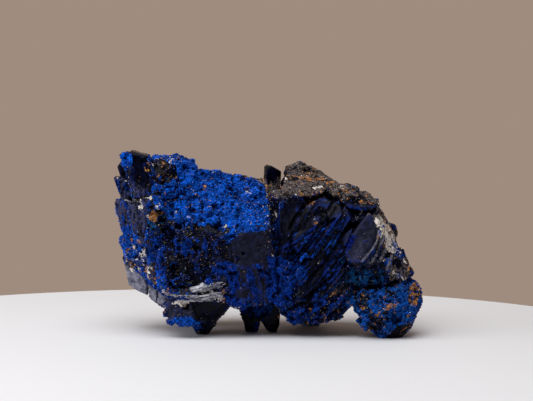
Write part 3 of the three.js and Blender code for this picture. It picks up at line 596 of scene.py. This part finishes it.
def highlighted_edges(points, normals, edges):
    """The painted highlight on sharp edges: 1 on the edges that face down and to the right, less on the others, 0 away
    from edges.
    """
    sharp = ramp(bulge_of(points, normals, edges, 2), 0.012, 0.040)
    return sharp * (0.25 + 0.75 * ramp(normals @ np.array((0.60, -0.30, -0.74)), -0.1, 0.6))


def dress_skin(skin):
    """Writes the finishes, with the painted shade, highlights, reflection and sheen, on the finished skin, and returns
    them for what grows on it.
    """
    points, normals, edges = arrays_of(skin.data)
    share = growth(points, normals)
    broad = bulge_of(points, normals, edges, 7)
    share["flat"] = (broad < 0.03).astype(float)
    marks = {
        "crust": crust_cover(points, share),
        "lush": share["lush"],
        # Painted edge highlight, strongest on sharp edges that face down and to the right.
        "rim": share["rim"] * highlighted_edges(points, normals, edges),
        "rust": specks(share["rust"], rough_clouds(points, 0.5, 161)) * ramp(share["rust"], 0.0, 0.04),
        "chalk": specks(share["chalk"], rough_clouds(points, 0.7, 162)) * ramp(share["chalk"], 0.0, 0.04),
        "dust": specks(share["dust"], rough_clouds(points, 1.1, 163)),
        "teal": share["teal"],
        # Painted violet sheen.
        "violet_sheen": share["violet_sheen"],
        # Painted grey reflection.
        "painted_reflection": share["painted_reflection"],
        "plates": share["streaks"],
        "polish": share["smooth"],
        "edge": np.clip(bulge_of(points, normals, edges, 2) / 0.05, -1, 1),
        # Painted shade, darkest in creases and cracks.
        "painted_crease_shade": np.clip(np.maximum(-broad / 0.20, share["crack"]), 0, 1),
    }
    for name, values in marks.items():
        record_share(skin.data, name, values)
    skin.data.set_sharp_from_angle(angle=math.radians(38))
    triangles = np.empty(len(skin.data.polygons) * 3, np.int32)
    skin.data.polygons.foreach_get("vertices", triangles)
    triangles = triangles.reshape(-1, 3)
    tree = BVHTree.FromPolygons(points.tolist(), triangles.tolist())
    return {"points": points, "triangles": triangles, "tree": tree, "share": share, "marks": marks}


def places_on(ground, liking, count, dice_box):
    """Random places on the skin, thicker where liking is high, with the skin's direction there."""
    corners = ground["points"][ground["triangles"]]
    across = np.cross(corners[:, 1] - corners[:, 0], corners[:, 2] - corners[:, 0])
    area = np.linalg.norm(across, axis=1)
    odds = area * liking[ground["triangles"]].mean(axis=1)
    chosen = dice_box.choice(len(odds), count, p=odds / odds.sum())
    first, second = dice_box.random((2, count))
    folded = first + second > 1
    first = np.where(folded, 1 - first, first)
    second = np.where(folded, 1 - second, second)
    triangle = corners[chosen]
    places = triangle[:, 0] + first[:, None] * (triangle[:, 1] - triangle[:, 0])
    places += second[:, None] * (triangle[:, 2] - triangle[:, 0])
    return places, unit(across[chosen]), ground["triangles"][chosen, 0]


def crystal_frames(outward, along, lean, dice_box):
    """A frame for each crystal: its third axis points outwards but for a lean, its first one along."""
    third = unit(outward + lean * dice_box.normal(size=outward.shape))
    first = unit(along - third * (along * third).sum(axis=1, keepdims=True))
    return np.stack((first, np.cross(third, first), third), axis=-1)


def tablet_shape(sides, top):
    """One crystal about 1 wide and high: a flat-topped prism that narrows towards its top."""
    bm = bmesh.new()
    bmesh.ops.create_cone(bm, cap_ends=True, segments=sides, radius1=0.5, radius2=0.5 * top, depth=1.0)
    bmesh.ops.triangulate(bm, faces=bm.faces)
    return shape_arrays(bm)


def grain_shape():
    """One pointed grain about 1 wide, with four faces."""
    bm = bmesh.new()
    bmesh.ops.create_cone(bm, cap_ends=True, segments=3, radius1=0.62, radius2=0.0, depth=0.9)
    bmesh.ops.translate(bm, verts=bm.verts, vec=(0, 0, 0.12))
    return shape_arrays(bm)


def shape_arrays(bm):
    """The points and triangles of a small shape, which is then let go."""
    points = np.array([corner.co[:] for corner in bm.verts])
    triangles = np.array([[corner.index for corner in face.verts] for face in bm.faces])
    bm.free()
    return points, triangles


def grow(name, shape, places, frames, sizes, shares):
    """One mesh of many small crystals, each with its own place, frame, three sizes and finish."""
    corners, triangles = shape
    points = np.einsum("nij,nvj->nvi", frames, corners[None] * sizes[:, None]) + places[:, None]
    faces = triangles[None] + (np.arange(len(places)) * len(corners))[:, None, None]
    points = keep_in_box(points.reshape(-1, 3)) * MM
    faces = faces.reshape(-1, 3)
    mesh = bpy.data.meshes.new(name)
    mesh.vertices.add(len(points))
    mesh.vertices.foreach_set("co", points.ravel())
    mesh.loops.add(faces.size)
    mesh.loops.foreach_set("vertex_index", faces.ravel().astype(np.int32))
    mesh.polygons.add(len(faces))
    mesh.polygons.foreach_set("loop_start", np.arange(0, faces.size, 3, dtype=np.int32))
    mesh.update(calc_edges=True)
    for label, values in shares.items():
        record_share(mesh, label, np.repeat(values, len(corners)))
    return new_piece(name, mesh)


def varied(count, low, high, dice_box):
    """Sizes between low and high, most of them small."""
    return low + (high - low) * dice_box.random(count) ** 2


def blue_grains(ground, name, liking, count, seed, low, high):
    """Grains of the blue crust, a fraction of a millimetre wide."""
    dice_box = np.random.default_rng(seed)
    marks = ground["marks"]
    liking = liking * (1 - marks["rust"]) * (1 - 0.85 * ground["share"]["smooth"])
    places, outward, at = places_on(ground, liking, count, dice_box)
    frames = crystal_frames(outward, dice_box.normal(size=places.shape), 0.8, dice_box)
    size = varied(count, low, high, dice_box)
    sizes = size[:, None] * (0.7 + 0.6 * dice_box.random((count, 3)))
    # The grains take the skin's painted crease shade.
    shares = {label: marks[label][at] for label in ("lush", "teal", "painted_crease_shade")}
    shares["tone"] = dice_box.random(count)
    return grow(name, grain_shape(), places, frames, sizes, shares)


def skin_shares(ground, at, dice_box):
    """The skin's finishes under each crystal, with some chance, for crystals of the same material."""
    marks = ground["marks"]
    chance = dice_box.random(len(at))
    shares = {name: marks[name][at] * (chance < 0.8) for name in ("rust", "chalk", "dust")}
    shares["crust"] = (chance < 0.9 * ground["share"]["crust"][at]).astype(float)
    # The crystals keep the skin's crust shares and its painted violet sheen.
    for name in ("lush", "teal", "violet_sheen"):
        shares[name] = marks[name][at]
    shares["tone"] = chance
    return shares


def dark_druse(ground, count=9200):
    """Small dark tablets that stand out of the rough parts of the skin."""
    dice_box = np.random.default_rng(22)
    share = ground["share"]
    liking = 0.02 + share["chips"] * (1 - share["smooth"]) * (1 - 0.6 * ground["marks"]["crust"])
    liking *= 1 - 0.8 * np.clip(ground["marks"]["edge"], 0, 1)
    places, outward, at = places_on(ground, liking, count, dice_box)
    frames = crystal_frames(outward, dice_box.normal(size=places.shape), 0.55, dice_box)
    size = varied(count, 0.15, 0.60, dice_box)
    sizes = size[:, None] * np.array((0.95, 0.60, 0.50)) * (0.75 + 0.5 * dice_box.random((count, 3)))
    return grow("dark_druse", tablet_shape(6, 0.55), places, frames, sizes, skin_shares(ground, at, dice_box))


def crystal_shape():
    """One flat crystal about 1 long, 1 wide and 1 thick, with bevelled edges."""
    bm = bmesh.new()
    bmesh.ops.create_cone(bm, cap_ends=True, segments=6, radius1=0.5, radius2=0.5, depth=1.0)
    rims = [edge for edge in bm.edges if abs(edge.verts[0].co.z - edge.verts[1].co.z) < 1e-6]
    bmesh.ops.bevel(bm, geom=rims, offset=0.07, segments=1, profile=0.5, affect="EDGES", material=-1)
    bmesh.ops.triangulate(bm, faces=bm.faces)
    return shape_arrays(bm)


def ends_on_skin(ground, places, along, length, reach):
    """Which crystals have both of their ends near the skin, so that they don't stick out of its rims."""
    close = np.ones(len(places), bool)
    for way in (-0.45, 0.45):
        for number, end in enumerate((places + along * (way * length)[:, None]).tolist()):
            close[number] &= ground["tree"].find_nearest(end)[3] < reach
    return close


def crystal_books(ground, count=54, pages=5):
    """Books of larger flat crystals side by side, on the sides that the photograph doesn't show, and
    behind the left end of the top."""
    dice_box = np.random.default_rng(27)
    share, marks, points = ground["share"], ground["marks"], ground["points"]
    low, high = np.array(cad_box[0]) / MM, np.array(cad_box[1]) / MM
    room = np.minimum(points - low, high - points).min(axis=1)
    liking = (1 - share["seen"]) * (0.12 + share["smooth"]) * (1 - 0.8 * marks["crust"]) * ramp(room, 0.9, 1.6)
    liking *= ramp(points[:, 1], -1.0, 1.0)
    behind = np.exp(-((points - (2.6, 4.0, 21.5)) ** 2).sum(axis=1) / 1.2)
    liking += behind * 12 * (points[:, 1] > 0.5)
    places, outward, _ = places_on(ground, liking, count, dice_box)
    across = unit(grain_of(places) + 0.6 * dice_box.normal(size=places.shape))
    first = unit(across - outward * (across * outward).sum(axis=1, keepdims=True))
    side = np.cross(first, outward)
    length, pitch = varied(count, 1.4, 4.6, dice_box), 0.34 + 0.60 * dice_box.random(count)
    shift = (np.arange(pages) - 0.5 * (pages - 1)) * pitch[:, None]
    spots = places[:, None] + side[:, None] * shift[..., None]
    spots += first[:, None] * (0.30 * length[:, None] * dice_box.normal(size=shift.shape))[..., None]
    found = [ground["tree"].find_nearest(spot) for spot in spots.reshape(-1, 3).tolist()]
    spots = np.array([near[0][:] for near in found])
    at = ground["triangles"][[near[2] for near in found], 0]
    first = unit(np.repeat(first, pages, axis=0) + 0.12 * dice_box.normal(size=spots.shape))
    third = np.repeat(side, pages, axis=0) + 0.14 * dice_box.normal(size=spots.shape)
    third = unit(third - first * (third * first).sum(axis=1, keepdims=True))
    frames = np.stack((first, np.cross(third, first), third), axis=-1)
    grown = np.repeat(length, pages) * (0.40 + 0.60 * dice_box.random(len(spots)))
    sizes = np.stack((grown, grown * (0.34 + 0.24 * dice_box.random(len(spots))),
                      np.repeat(pitch, pages) * (0.5 + 0.7 * dice_box.random(len(spots)))), axis=1)
    shares = skin_shares(ground, at, dice_box)
    for label in ("rust", "chalk", "dust"):
        shares[label] *= 0.38
    shares["crust"] = 0.6 * share["crust"][at]
    shares["polish"] = np.ones(len(spots))
    kept = ends_on_skin(ground, spots, first, grown, 0.75)
    shares = {label: values[kept] for label, values in shares.items()}
    return grow("crystal_books", crystal_shape(), spots[kept], frames[kept], sizes[kept], shares)


def plate_edges(ground, count=2600):
    """Edges of thin plates that stand out of the skin and run along it, in the fan, ribs and left end."""
    dice_box = np.random.default_rng(23)
    share, marks = ground["share"], ground["marks"]
    fan = ramp(ground["points"][:, 0], 0.8, 1.6)
    seen = share["seen"]
    liking = (share["streaks"] - 0.25).clip(0, 1) * (0.6 + 3.0 * fan * seen) * (marks["edge"] < 0.1)
    liking = liking * share["flat"] * (share["dust"] < 0.3) * ramp(ground["points"][:, 2], 20.0, 19.0)
    places, outward, at = places_on(ground, liking, count, dice_box)
    along = grain_of(places) + 0.045 * dice_box.normal(size=places.shape)
    first = unit(along - outward * (along * outward).sum(axis=1, keepdims=True))
    side = unit(np.cross(first, outward) + 0.35 * dice_box.normal(size=(count, 1)) * outward)
    frames = np.stack((first, np.cross(side, first), side), axis=-1)
    stand = 0.25 + 0.75 * (fan * seen)[at]
    length = varied(count, 0.6, 3.6, dice_box) * (0.30 + 0.70 * stand)
    sizes = np.stack((length, (0.16 + 0.34 * dice_box.random(count)) * stand,
                      varied(count, 0.05, 0.16, dice_box)), axis=1)
    kept = ends_on_skin(ground, places, first, length, 0.30)
    shares = {label: values[kept] for label, values in skin_shares(ground, at, dice_box).items()}
    shares["rust"] *= 0.4
    return grow("plate_edges", tablet_shape(6, 0.8), places[kept], frames[kept], sizes[kept], shares)


def earthy_grains(ground, name, mark, count, seed, low, high):
    """Grains of an earthy mineral, where the skin carries it."""
    dice_box = np.random.default_rng(seed)
    liking = ground["marks"][mark] ** 2 + 0.04 * (1.05 - ground["share"]["smooth"])
    places, outward, at = places_on(ground, liking, count, dice_box)
    frames = crystal_frames(outward, dice_box.normal(size=places.shape), 0.6, dice_box)
    size = varied(count, low, high, dice_box)
    sizes = size[:, None] * np.array((1.0, 0.8, 0.55)) * (0.7 + 0.6 * dice_box.random((count, 3)))
    return grow(name, grain_shape(), places, frames, sizes, {"tone": dice_box.random(count)})


def page_shape():
    """A torn page of crystal about 1 long, 1 deep and 1 thick."""
    bm = bmesh.new()
    bmesh.ops.create_cube(bm, size=1.0)
    bmesh.ops.subdivide_edges(bm, edges=bm.edges[:], cuts=3, use_grid_fill=True)
    chance = np.random.default_rng(41)
    for corner in bm.verts:
        corner.co += Vector(chance.uniform(-0.13, 0.13, 3) * (1.0, 1.0, 0.5))
    bmesh.ops.triangulate(bm, faces=bm.faces)
    return shape_arrays(bm)


def sheen_sheet_pages():
    """Thin sheets in stacks, like torn pages, low on the front of the left half, with a painted silvery reflection."""
    chance = np.random.default_rng(42)
    places, frames, sizes = [], [], []
    for start, end, stack, sheets, thick in LEDGES:
        start, end = np.array(start), np.array(end)
        run = unit(end - start)
        for _ in range(sheets):
            level = round(chance.uniform(-0.5, 0.5) * stack / (2 * thick)) * 2 * thick
            places.append(start + (end - start) * chance.random() + (0, chance.normal() * 0.10, level))
            first = unit(run + 0.03 * chance.normal(size=3))
            third = unit(np.cross(first, (0, 1, 0.3)) * -1 + 0.05 * chance.normal(size=3))
            third = unit(third - first * (third @ first))
            frames.append(np.stack((first, np.cross(third, first), third), axis=-1))
            sizes.append((chance.uniform(0.5, 1.8), chance.uniform(0.8, 1.3), thick * chance.uniform(0.6, 1.2)))
    shares = {"tone": chance.random(len(places))}
    return grow("sheen_sheet_pages", page_shape(), np.array(places), np.array(frames), np.array(sizes), shares)


def nodes_of(name):
    """A new material, with its node tree and its surface shader."""
    material = bpy.data.materials.new(name)
    material.use_nodes = True
    return material, material.node_tree, material.node_tree.nodes["Principled BSDF"]


def add(tree, kind, inputs=(), **settings):
    """One shader node, with its settings and its inputs given as values or as other nodes' outputs."""
    node = tree.nodes.new("ShaderNode" + kind)
    for name, value in settings.items():
        setattr(node, name, value)
    for key, value in dict(inputs).items():
        if isinstance(value, bpy.types.NodeSocket):
            tree.links.new(value, node.inputs[key])
        else:
            node.inputs[key].default_value = value
    return node


def share_of(tree, name):
    """A finish that the mesh carries."""
    return add(tree, "Attribute", attribute_name=name).outputs["Fac"]


def noise(tree, place, size, detail=3.0, stretch=None):
    """Noise with blotches about size mm wide, drawn out along a turned axis if stretch says so."""
    if stretch:
        turn, longer = stretch
        place = add(tree, "Mapping", {"Vector": place, "Rotation": turn, "Scale": longer}).outputs[0]
    scale = 1 / (size * MM)
    inputs = {"Vector": place, "Scale": scale, "Detail": detail, "Roughness": 0.6}
    return add(tree, "TexNoise", inputs).outputs["Fac"]


def maths(tree, operation, *values):
    """The result of one sum."""
    return add(tree, "Math", dict(enumerate(values)), operation=operation).outputs[0]


def between(tree, value, low, high):
    """0 below low and 1 above high."""
    inputs = {"Value": value, "From Min": low, "From Max": high}
    return add(tree, "MapRange", inputs, interpolation_type="SMOOTHSTEP").outputs[0]


def mixed(tree, share, first, second):
    """The first colour, turned into the second one by share."""
    inputs = {0: share, 6: first, 7: second}
    return add(tree, "Mix", inputs, data_type="RGBA").outputs[2]


def speckled(tree, share, fine, low=0.42, high=0.58, depth=1.1):
    """A share with its rim broken up by fine noise."""
    shaken = maths(tree, "MULTIPLY_ADD", maths(tree, "SUBTRACT", fine, 0.5), depth, share)
    return between(tree, shaken, low, high)


def granular(tree, place, size):
    """A number from 0 to 1 for each tiny grain of the surface, crisp from one to the next."""
    own = add(tree, "TexVoronoi", {"Vector": place, "Scale": 1 / (size * MM)}).outputs["Color"]
    return add(tree, "SeparateXYZ", {0: own}).outputs["X"]


def colour(red, green, blue):
    """A colour in linear values, solid."""
    return (red, green, blue, 1.0)


BLACK_BLUE = colour(0.0008, 0.0010, 0.0040)
DEEP_BLUE = colour(0.0010, 0.0034, 0.028)
ROYAL_BLUE = colour(0.0015, 0.020, 0.30)
EDGE_HIGHLIGHT_BLUE = colour(0.0040, 0.038, 0.34)
DARK_VELVET = colour(0.0012, 0.012, 0.12)
VELVET_BLUE = colour(0.002, 0.155, 0.88)
DARK_TEAL = colour(0.001, 0.016, 0.050)
TEAL = colour(0.003, 0.125, 0.28)
SHEEN_VIOLET_GREY = colour(0.060, 0.062, 0.125)
REFLECTION_GREY = colour(0.28, 0.28, 0.36)
DUST_DARK = colour(0.016, 0.013, 0.015)
DUST_LIGHT = colour(0.190, 0.158, 0.150)
RUST_DARK = colour(0.085, 0.030, 0.010)
RUST_LIGHT = colour(0.60, 0.27, 0.09)
CHALK_DARK = colour(0.46, 0.38, 0.33)
CHALK_LIGHT = colour(0.88, 0.82, 0.76)
SHEEN_SHEET_DARK = colour(0.12, 0.12, 0.17)
SHEEN_SHEET_LIGHT = colour(0.62, 0.61, 0.68)


def glinting(tree, place, size, tilt):
    """A surface direction that tilts from one tiny crystal face to the next."""
    inputs = {"Vector": place, "Scale": 1 / (size * MM)}
    own = add(tree, "TexVoronoi", inputs).outputs["Color"]
    centred = add(tree, "VectorMath", {0: own, 1: (0.5, 0.5, 0.5)}, operation="SUBTRACT").outputs[0]
    leaned = add(tree, "VectorMath", {0: centred, "Scale": tilt}, operation="SCALE").outputs[0]
    straight = add(tree, "NewGeometry").outputs["Normal"]
    summed = add(tree, "VectorMath", {0: straight, 1: leaned}, operation="ADD").outputs[0]
    return add(tree, "VectorMath", {0: summed}, operation="NORMALIZE").outputs[0]


def crust_colour(tree, place, fine, chance):
    """The crust's blues: navy to royal where it is thin, and royal to bright where it is lush, darkened with painted
    shade in creases and cracks.
    """
    patchy = noise(tree, place, 1.9, 4)
    lit = maths(tree, "MULTIPLY_ADD", fine, 0.8, maths(tree, "MULTIPLY", patchy, 0.7))
    lit = between(tree, lit, 0.55, 0.90)
    # Painted shade: the crust darker in creases and cracks.
    shade = maths(tree, "MULTIPLY", share_of(tree, "painted_crease_shade"), 0.75)
    lit = maths(tree, "MULTIPLY", lit, maths(tree, "SUBTRACT", 1.0, shade))
    lit = maths(tree, "MULTIPLY", lit, maths(tree, "MULTIPLY_ADD", chance, 1.9, 0.05))
    thin = mixed(tree, lit, DEEP_BLUE, ROYAL_BLUE)
    lush = mixed(tree, lit, DARK_VELVET, VELVET_BLUE)
    blue = mixed(tree, share_of(tree, "lush"), thin, lush)
    stained = speckled(tree, share_of(tree, "teal"), noise(tree, place, 0.7), 0.35, 0.95)
    return mixed(tree, maths(tree, "MULTIPLY", stained, 0.8), blue, mixed(tree, lit, DARK_TEAL, TEAL))


def azurite_material(name, smoothest, roughest, shine):
    """Blue-black crystal, with the crusts, stains and dust that lie on it, and painted violet sheen, grey reflection,
    edge highlights and crease shade.
    """
    material, tree, surface = nodes_of(name)
    place = add(tree, "TexCoord").outputs["Object"]
    fine, middle = noise(tree, place, 0.28), noise(tree, place, 0.9)
    steep = noise(tree, place, 0.30, 3, ((0, math.radians(-11), 0), (1, 1, 0.09)))
    slanted = noise(tree, place, 0.30, 3, ((0, math.radians(-37), 0), (1, 1, 0.09)))
    sides = add(tree, "SeparateXYZ", {0: place}).outputs["X"]
    line = add(tree, "Mix", {0: between(tree, sides, 0.0005, 0.0015), 2: steep, 3: slanted}).outputs[0]

    grain = granular(tree, place, 0.20)
    fine = maths(tree, "MULTIPLY_ADD", grain, 0.35, maths(tree, "MULTIPLY", fine, 0.65))
    open_dark = maths(tree, "MULTIPLY_ADD", share_of(tree, "plates"), -0.6, 1.0)
    inky = maths(tree, "MULTIPLY", between(tree, middle, 0.45, 0.75), open_dark)
    base = mixed(tree, inky, BLACK_BLUE, DEEP_BLUE)
    lined = maths(tree, "MULTIPLY", share_of(tree, "plates"), maths(tree, "MULTIPLY", between(tree, line, 0.56, 0.44), 0.6))
    # Painted violet-grey sheen, mottled and broken by the plate lines.
    sheen_pattern = between(tree, maths(tree, "ADD", fine, maths(tree, "SUBTRACT", middle, lined)), 0.3, 1.3)
    sheen_amount = maths(tree, "MULTIPLY", share_of(tree, "violet_sheen"), sheen_pattern)
    base = mixed(tree, sheen_amount, base, SHEEN_VIOLET_GREY)
    broad = noise(tree, place, 2.6, 2)
    drawn = maths(tree, "MULTIPLY", between(tree, line, 0.60, 0.66), between(tree, broad, 0.48, 0.62))
    streaky = maths(tree, "MULTIPLY", share_of(tree, "plates"), drawn)
    base = mixed(tree, maths(tree, "MULTIPLY", streaky, between(tree, fine, 0.2, 0.6)), base, ROYAL_BLUE)
    # Painted highlight in blue on sharp edges, strongest where they face down and to the right.
    thin = maths(tree, "MULTIPLY", share_of(tree, "rim"), between(tree, middle, 0.42, 0.56))
    base = mixed(tree, thin, base, EDGE_HIGHLIGHT_BLUE)
    # Painted grey reflection.
    base = mixed(tree, maths(tree, "MULTIPLY", share_of(tree, "painted_reflection"), between(tree, middle, 0.2, 0.7)), base, REFLECTION_GREY)

    crust = speckled(tree, share_of(tree, "crust"), fine)
    base = mixed(tree, crust, base, crust_colour(tree, place, fine, maths(tree, "MULTIPLY", granular(tree, place, 0.30), 0.8)))
    dust = speckled(tree, share_of(tree, "dust"), fine, 0.40, 0.70, 1.6)
    dusty = mixed(tree, between(tree, maths(tree, "ADD", grain, middle), 0.6, 1.4), DUST_DARK, DUST_LIGHT)
    base = mixed(tree, maths(tree, "MULTIPLY", dust, 0.85), base, dusty)
    # Painted shade: creases and cracks darkened towards black.
    base = mixed(tree, maths(tree, "MULTIPLY", share_of(tree, "painted_crease_shade"), 0.8), base, BLACK_BLUE)
    rust = speckled(tree, share_of(tree, "rust"), fine, 0.45, 0.60, 1.5)
    base = mixed(tree, rust, base, mixed(tree, between(tree, fine, 0.30, 0.70), RUST_DARK, RUST_LIGHT))
    chalk = speckled(tree, share_of(tree, "chalk"), fine, 0.45, 0.62, 1.5)
    base = mixed(tree, chalk, base, mixed(tree, between(tree, fine, 0.25, 0.60), CHALK_DARK, CHALK_LIGHT))
    tree.links.new(base, surface.inputs["Base Color"])

    matt = maths(tree, "MAXIMUM", maths(tree, "MAXIMUM", crust, dust), maths(tree, "MAXIMUM", rust, chalk))
    bare = maths(tree, "MULTIPLY_ADD", between(tree, middle, 0.3, 0.7), roughest - smoothest, smoothest)
    rough = add(tree, "Mix", {0: matt, 2: bare, 3: 0.85}).outputs[0]
    tree.links.new(rough, surface.inputs["Roughness"])
    surface.inputs["IOR"].default_value = 1.73
    surface.inputs["Specular IOR Level"].default_value = shine

    uneven = maths(tree, "SUBTRACT", 1.0, maths(tree, "MULTIPLY", share_of(tree, "polish"), 0.9))
    direction = glinting(tree, place, 0.33, maths(tree, "MULTIPLY", uneven, 0.28))
    height = maths(tree, "MULTIPLY_ADD", line, maths(tree, "MULTIPLY", share_of(tree, "plates"), 1.5), fine)
    bump = add(tree, "Bump", {"Height": height, "Normal": direction, "Strength": 0.8, "Distance": 0.06 * MM})
    tree.links.new(bump.outputs[0], surface.inputs["Normal"])
    return material


def crust_material():
    """Grains of the bright crust."""
    material, tree, surface = nodes_of("azurite_crust")
    place = add(tree, "TexCoord").outputs["Object"]
    fine = noise(tree, place, 0.22)
    blue = crust_colour(tree, place, fine, share_of(tree, "tone"))
    dark = between(tree, share_of(tree, "tone"), 0.26, 0.08)
    tree.links.new(mixed(tree, maths(tree, "MULTIPLY", dark, 0.9), blue, BLACK_BLUE), surface.inputs["Base Color"])
    tree.links.new(between(tree, fine, -0.1, 1.5), surface.inputs["Roughness"])
    surface.inputs["IOR"].default_value = 1.73
    surface.inputs["Specular IOR Level"].default_value = 0.06
    bump = add(tree, "Bump", {"Height": fine, "Strength": 0.7, "Distance": 0.05 * MM})
    tree.links.new(bump.outputs[0], surface.inputs["Normal"])
    return material


def earthy_material(name, dark, light):
    """Grains of a dull mineral, between two colours."""
    material, tree, surface = nodes_of(name)
    place = add(tree, "TexCoord").outputs["Object"]
    fine = noise(tree, place, 0.25)
    shade = maths(tree, "MULTIPLY_ADD", share_of(tree, "tone"), 0.7, maths(tree, "MULTIPLY", fine, 0.6))
    tree.links.new(mixed(tree, between(tree, shade, 0.2, 0.9), dark, light), surface.inputs["Base Color"])
    tree.links.new(between(tree, fine, -2.6, 1.1), surface.inputs["Roughness"])
    bump = add(tree, "Bump", {"Height": fine, "Strength": 0.8, "Distance": 0.05 * MM})
    tree.links.new(bump.outputs[0], surface.inputs["Normal"])
    return material


def sheen_sheet_material():
    """Sheets with a painted silvery reflection, and fine lines along them."""
    material, tree, surface = nodes_of("azurite_sheet_sheen")
    place = add(tree, "TexCoord").outputs["Object"]
    lines = noise(tree, place, 0.16, 3, ((0, math.radians(9), 0), (0.10, 1, 1)))
    shade = maths(tree, "MULTIPLY_ADD", share_of(tree, "tone"), 0.5, maths(tree, "MULTIPLY", lines, 0.9))
    # Painted silvery reflection as the base colour.
    tree.links.new(mixed(tree, between(tree, shade, 0.35, 0.95), SHEEN_SHEET_DARK, SHEEN_SHEET_LIGHT), surface.inputs["Base Color"])
    tree.links.new(between(tree, lines, -0.7, 1.6), surface.inputs["Roughness"])
    bump = add(tree, "Bump", {"Height": lines, "Strength": 0.8, "Distance": 0.05 * MM})
    tree.links.new(bump.outputs[0], surface.inputs["Normal"])
    return material


def finish_piece(piece, material):
    """Gives a piece its material and the body that carries it."""
    piece.data.materials.clear()
    piece.data.materials.append(material)
    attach(piece, "root")


def stage_disc():
    """The pale round floor, wide enough that its rim shows behind the cluster."""
    bm = bmesh.new()
    bmesh.ops.create_cone(bm, cap_ends=True, segments=256, radius1=74 * MM, radius2=74 * MM, depth=6 * MM)
    rims = [edge for edge in bm.edges if abs(edge.verts[0].co.z - edge.verts[1].co.z) < 1e-6]
    bmesh.ops.bevel(bm, geom=rims, offset=1.2 * MM, segments=4, profile=0.5, affect="EDGES", material=-1)
    bmesh.ops.translate(bm, verts=bm.verts, vec=(-10 * MM, -20 * MM, -3 * MM))
    mesh = bpy.data.meshes.new("floor_disc")
    bm.to_mesh(mesh)
    bm.free()
    mesh.shade_smooth()
    mesh.set_sharp_from_angle(angle=math.radians(40))
    material, _, surface = nodes_of("pale_floor")
    surface.inputs["Base Color"].default_value = colour(0.80, 0.81, 0.84)
    surface.inputs["Roughness"].default_value = 0.6
    mesh.materials.append(material)
    disc = new_piece("floor_disc", mesh)


def surroundings():
    """A plain beige room, lighter behind the cluster than in front of it."""
    world = bpy.data.worlds.new("room")
    bpy.context.scene.world = world
    world.use_nodes = True
    tree = world.node_tree
    heading = add(tree, "TexCoord").outputs["Generated"]
    away = add(tree, "SeparateXYZ", {0: heading}).outputs["Y"]
    room = mixed(tree, between(tree, away, -0.5, 0.9), colour(0.050, 0.049, 0.051), colour(0.345, 0.262, 0.212))
    tree.links.new(room, tree.nodes["Background"].inputs["Color"])


def soft_light(name, place, size, power, tint=(1, 1, 1)):
    """A square soft light that shines on the cluster."""
    light = bpy.data.lights.new(name, "AREA")
    light.size = size
    light.energy = power
    light.color = tint
    lamp = bpy.data.objects.new(name, light)
    bpy.context.collection.objects.link(lamp)
    lamp.location = place
    lamp.rotation_euler = (Vector((0, 0, 0.012)) - Vector(place)).to_track_quat("-Z", "Y").to_euler()


def camera_of_the_photograph():
    """The camera: level with the sample but for a slight look down, with a long lens."""
    lens = bpy.data.cameras.new("camera")
    lens.sensor_width = 36
    lens.lens = FOCAL * 36 / PICTURE_WIDTH
    lens.clip_start = 0.01
    camera = bpy.data.objects.new("camera", lens)
    bpy.context.collection.objects.link(camera)
    camera.location = EYE * MM
    camera.rotation_euler = (math.pi / 2 - EYE_TILT, 0, 0)
    bpy.context.scene.camera = camera


def build():
    """The whole scene."""
    camera_of_the_photograph()
    stage_disc()
    surroundings()
    soft_light("overhead", (-0.07, -0.11, 0.36), 0.42, 1.75)
    soft_light("left_fill", (-0.34, -0.08, 0.12), 0.18, 0.45, (0.95, 0.97, 1.0))

    azurite = azurite_material("azurite", 0.06, 0.36, 0.04)
    skin = make_skin()
    ground = dress_skin(skin)
    finish_piece(skin, azurite)
    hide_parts("azurite_cluster")
    crust = crust_material()
    marks = ground["marks"]
    velvet = marks["crust"] ** 2 * ramp(marks["lush"], 0.5, 0.8)
    finish_piece(blue_grains(ground, "velvet_grains", velvet, 46000, 21, 0.14, 0.42), crust)
    thin = marks["crust"] ** 2 * ramp(marks["lush"], 0.8, 0.5) + 0.01
    finish_piece(blue_grains(ground, "crust_grains", thin, 40000, 26, 0.10, 0.34), crust)
    glossy = azurite_material("glossy_azurite", 0.05, 0.30, 0.30)
    finish_piece(dark_druse(ground), glossy)
    finish_piece(crystal_books(ground), azurite)
    finish_piece(plate_edges(ground), azurite)
    # Sheets with a painted silvery reflection.
    finish_piece(sheen_sheet_pages(), sheen_sheet_material())
    rusty = earthy_grains(ground, "rusty_grains", "rust", 7500, 24, 0.08, 0.26)
    finish_piece(rusty, earthy_material("iron_oxide", RUST_DARK, RUST_LIGHT))
    chalky = earthy_grains(ground, "chalky_grains", "chalk", 5600, 25, 0.07, 0.24)
    finish_piece(chalky, earthy_material("chalky_coating", CHALK_DARK, CHALK_LIGHT))
    bpy.context.scene.view_settings.view_transform = "Standard"


build()
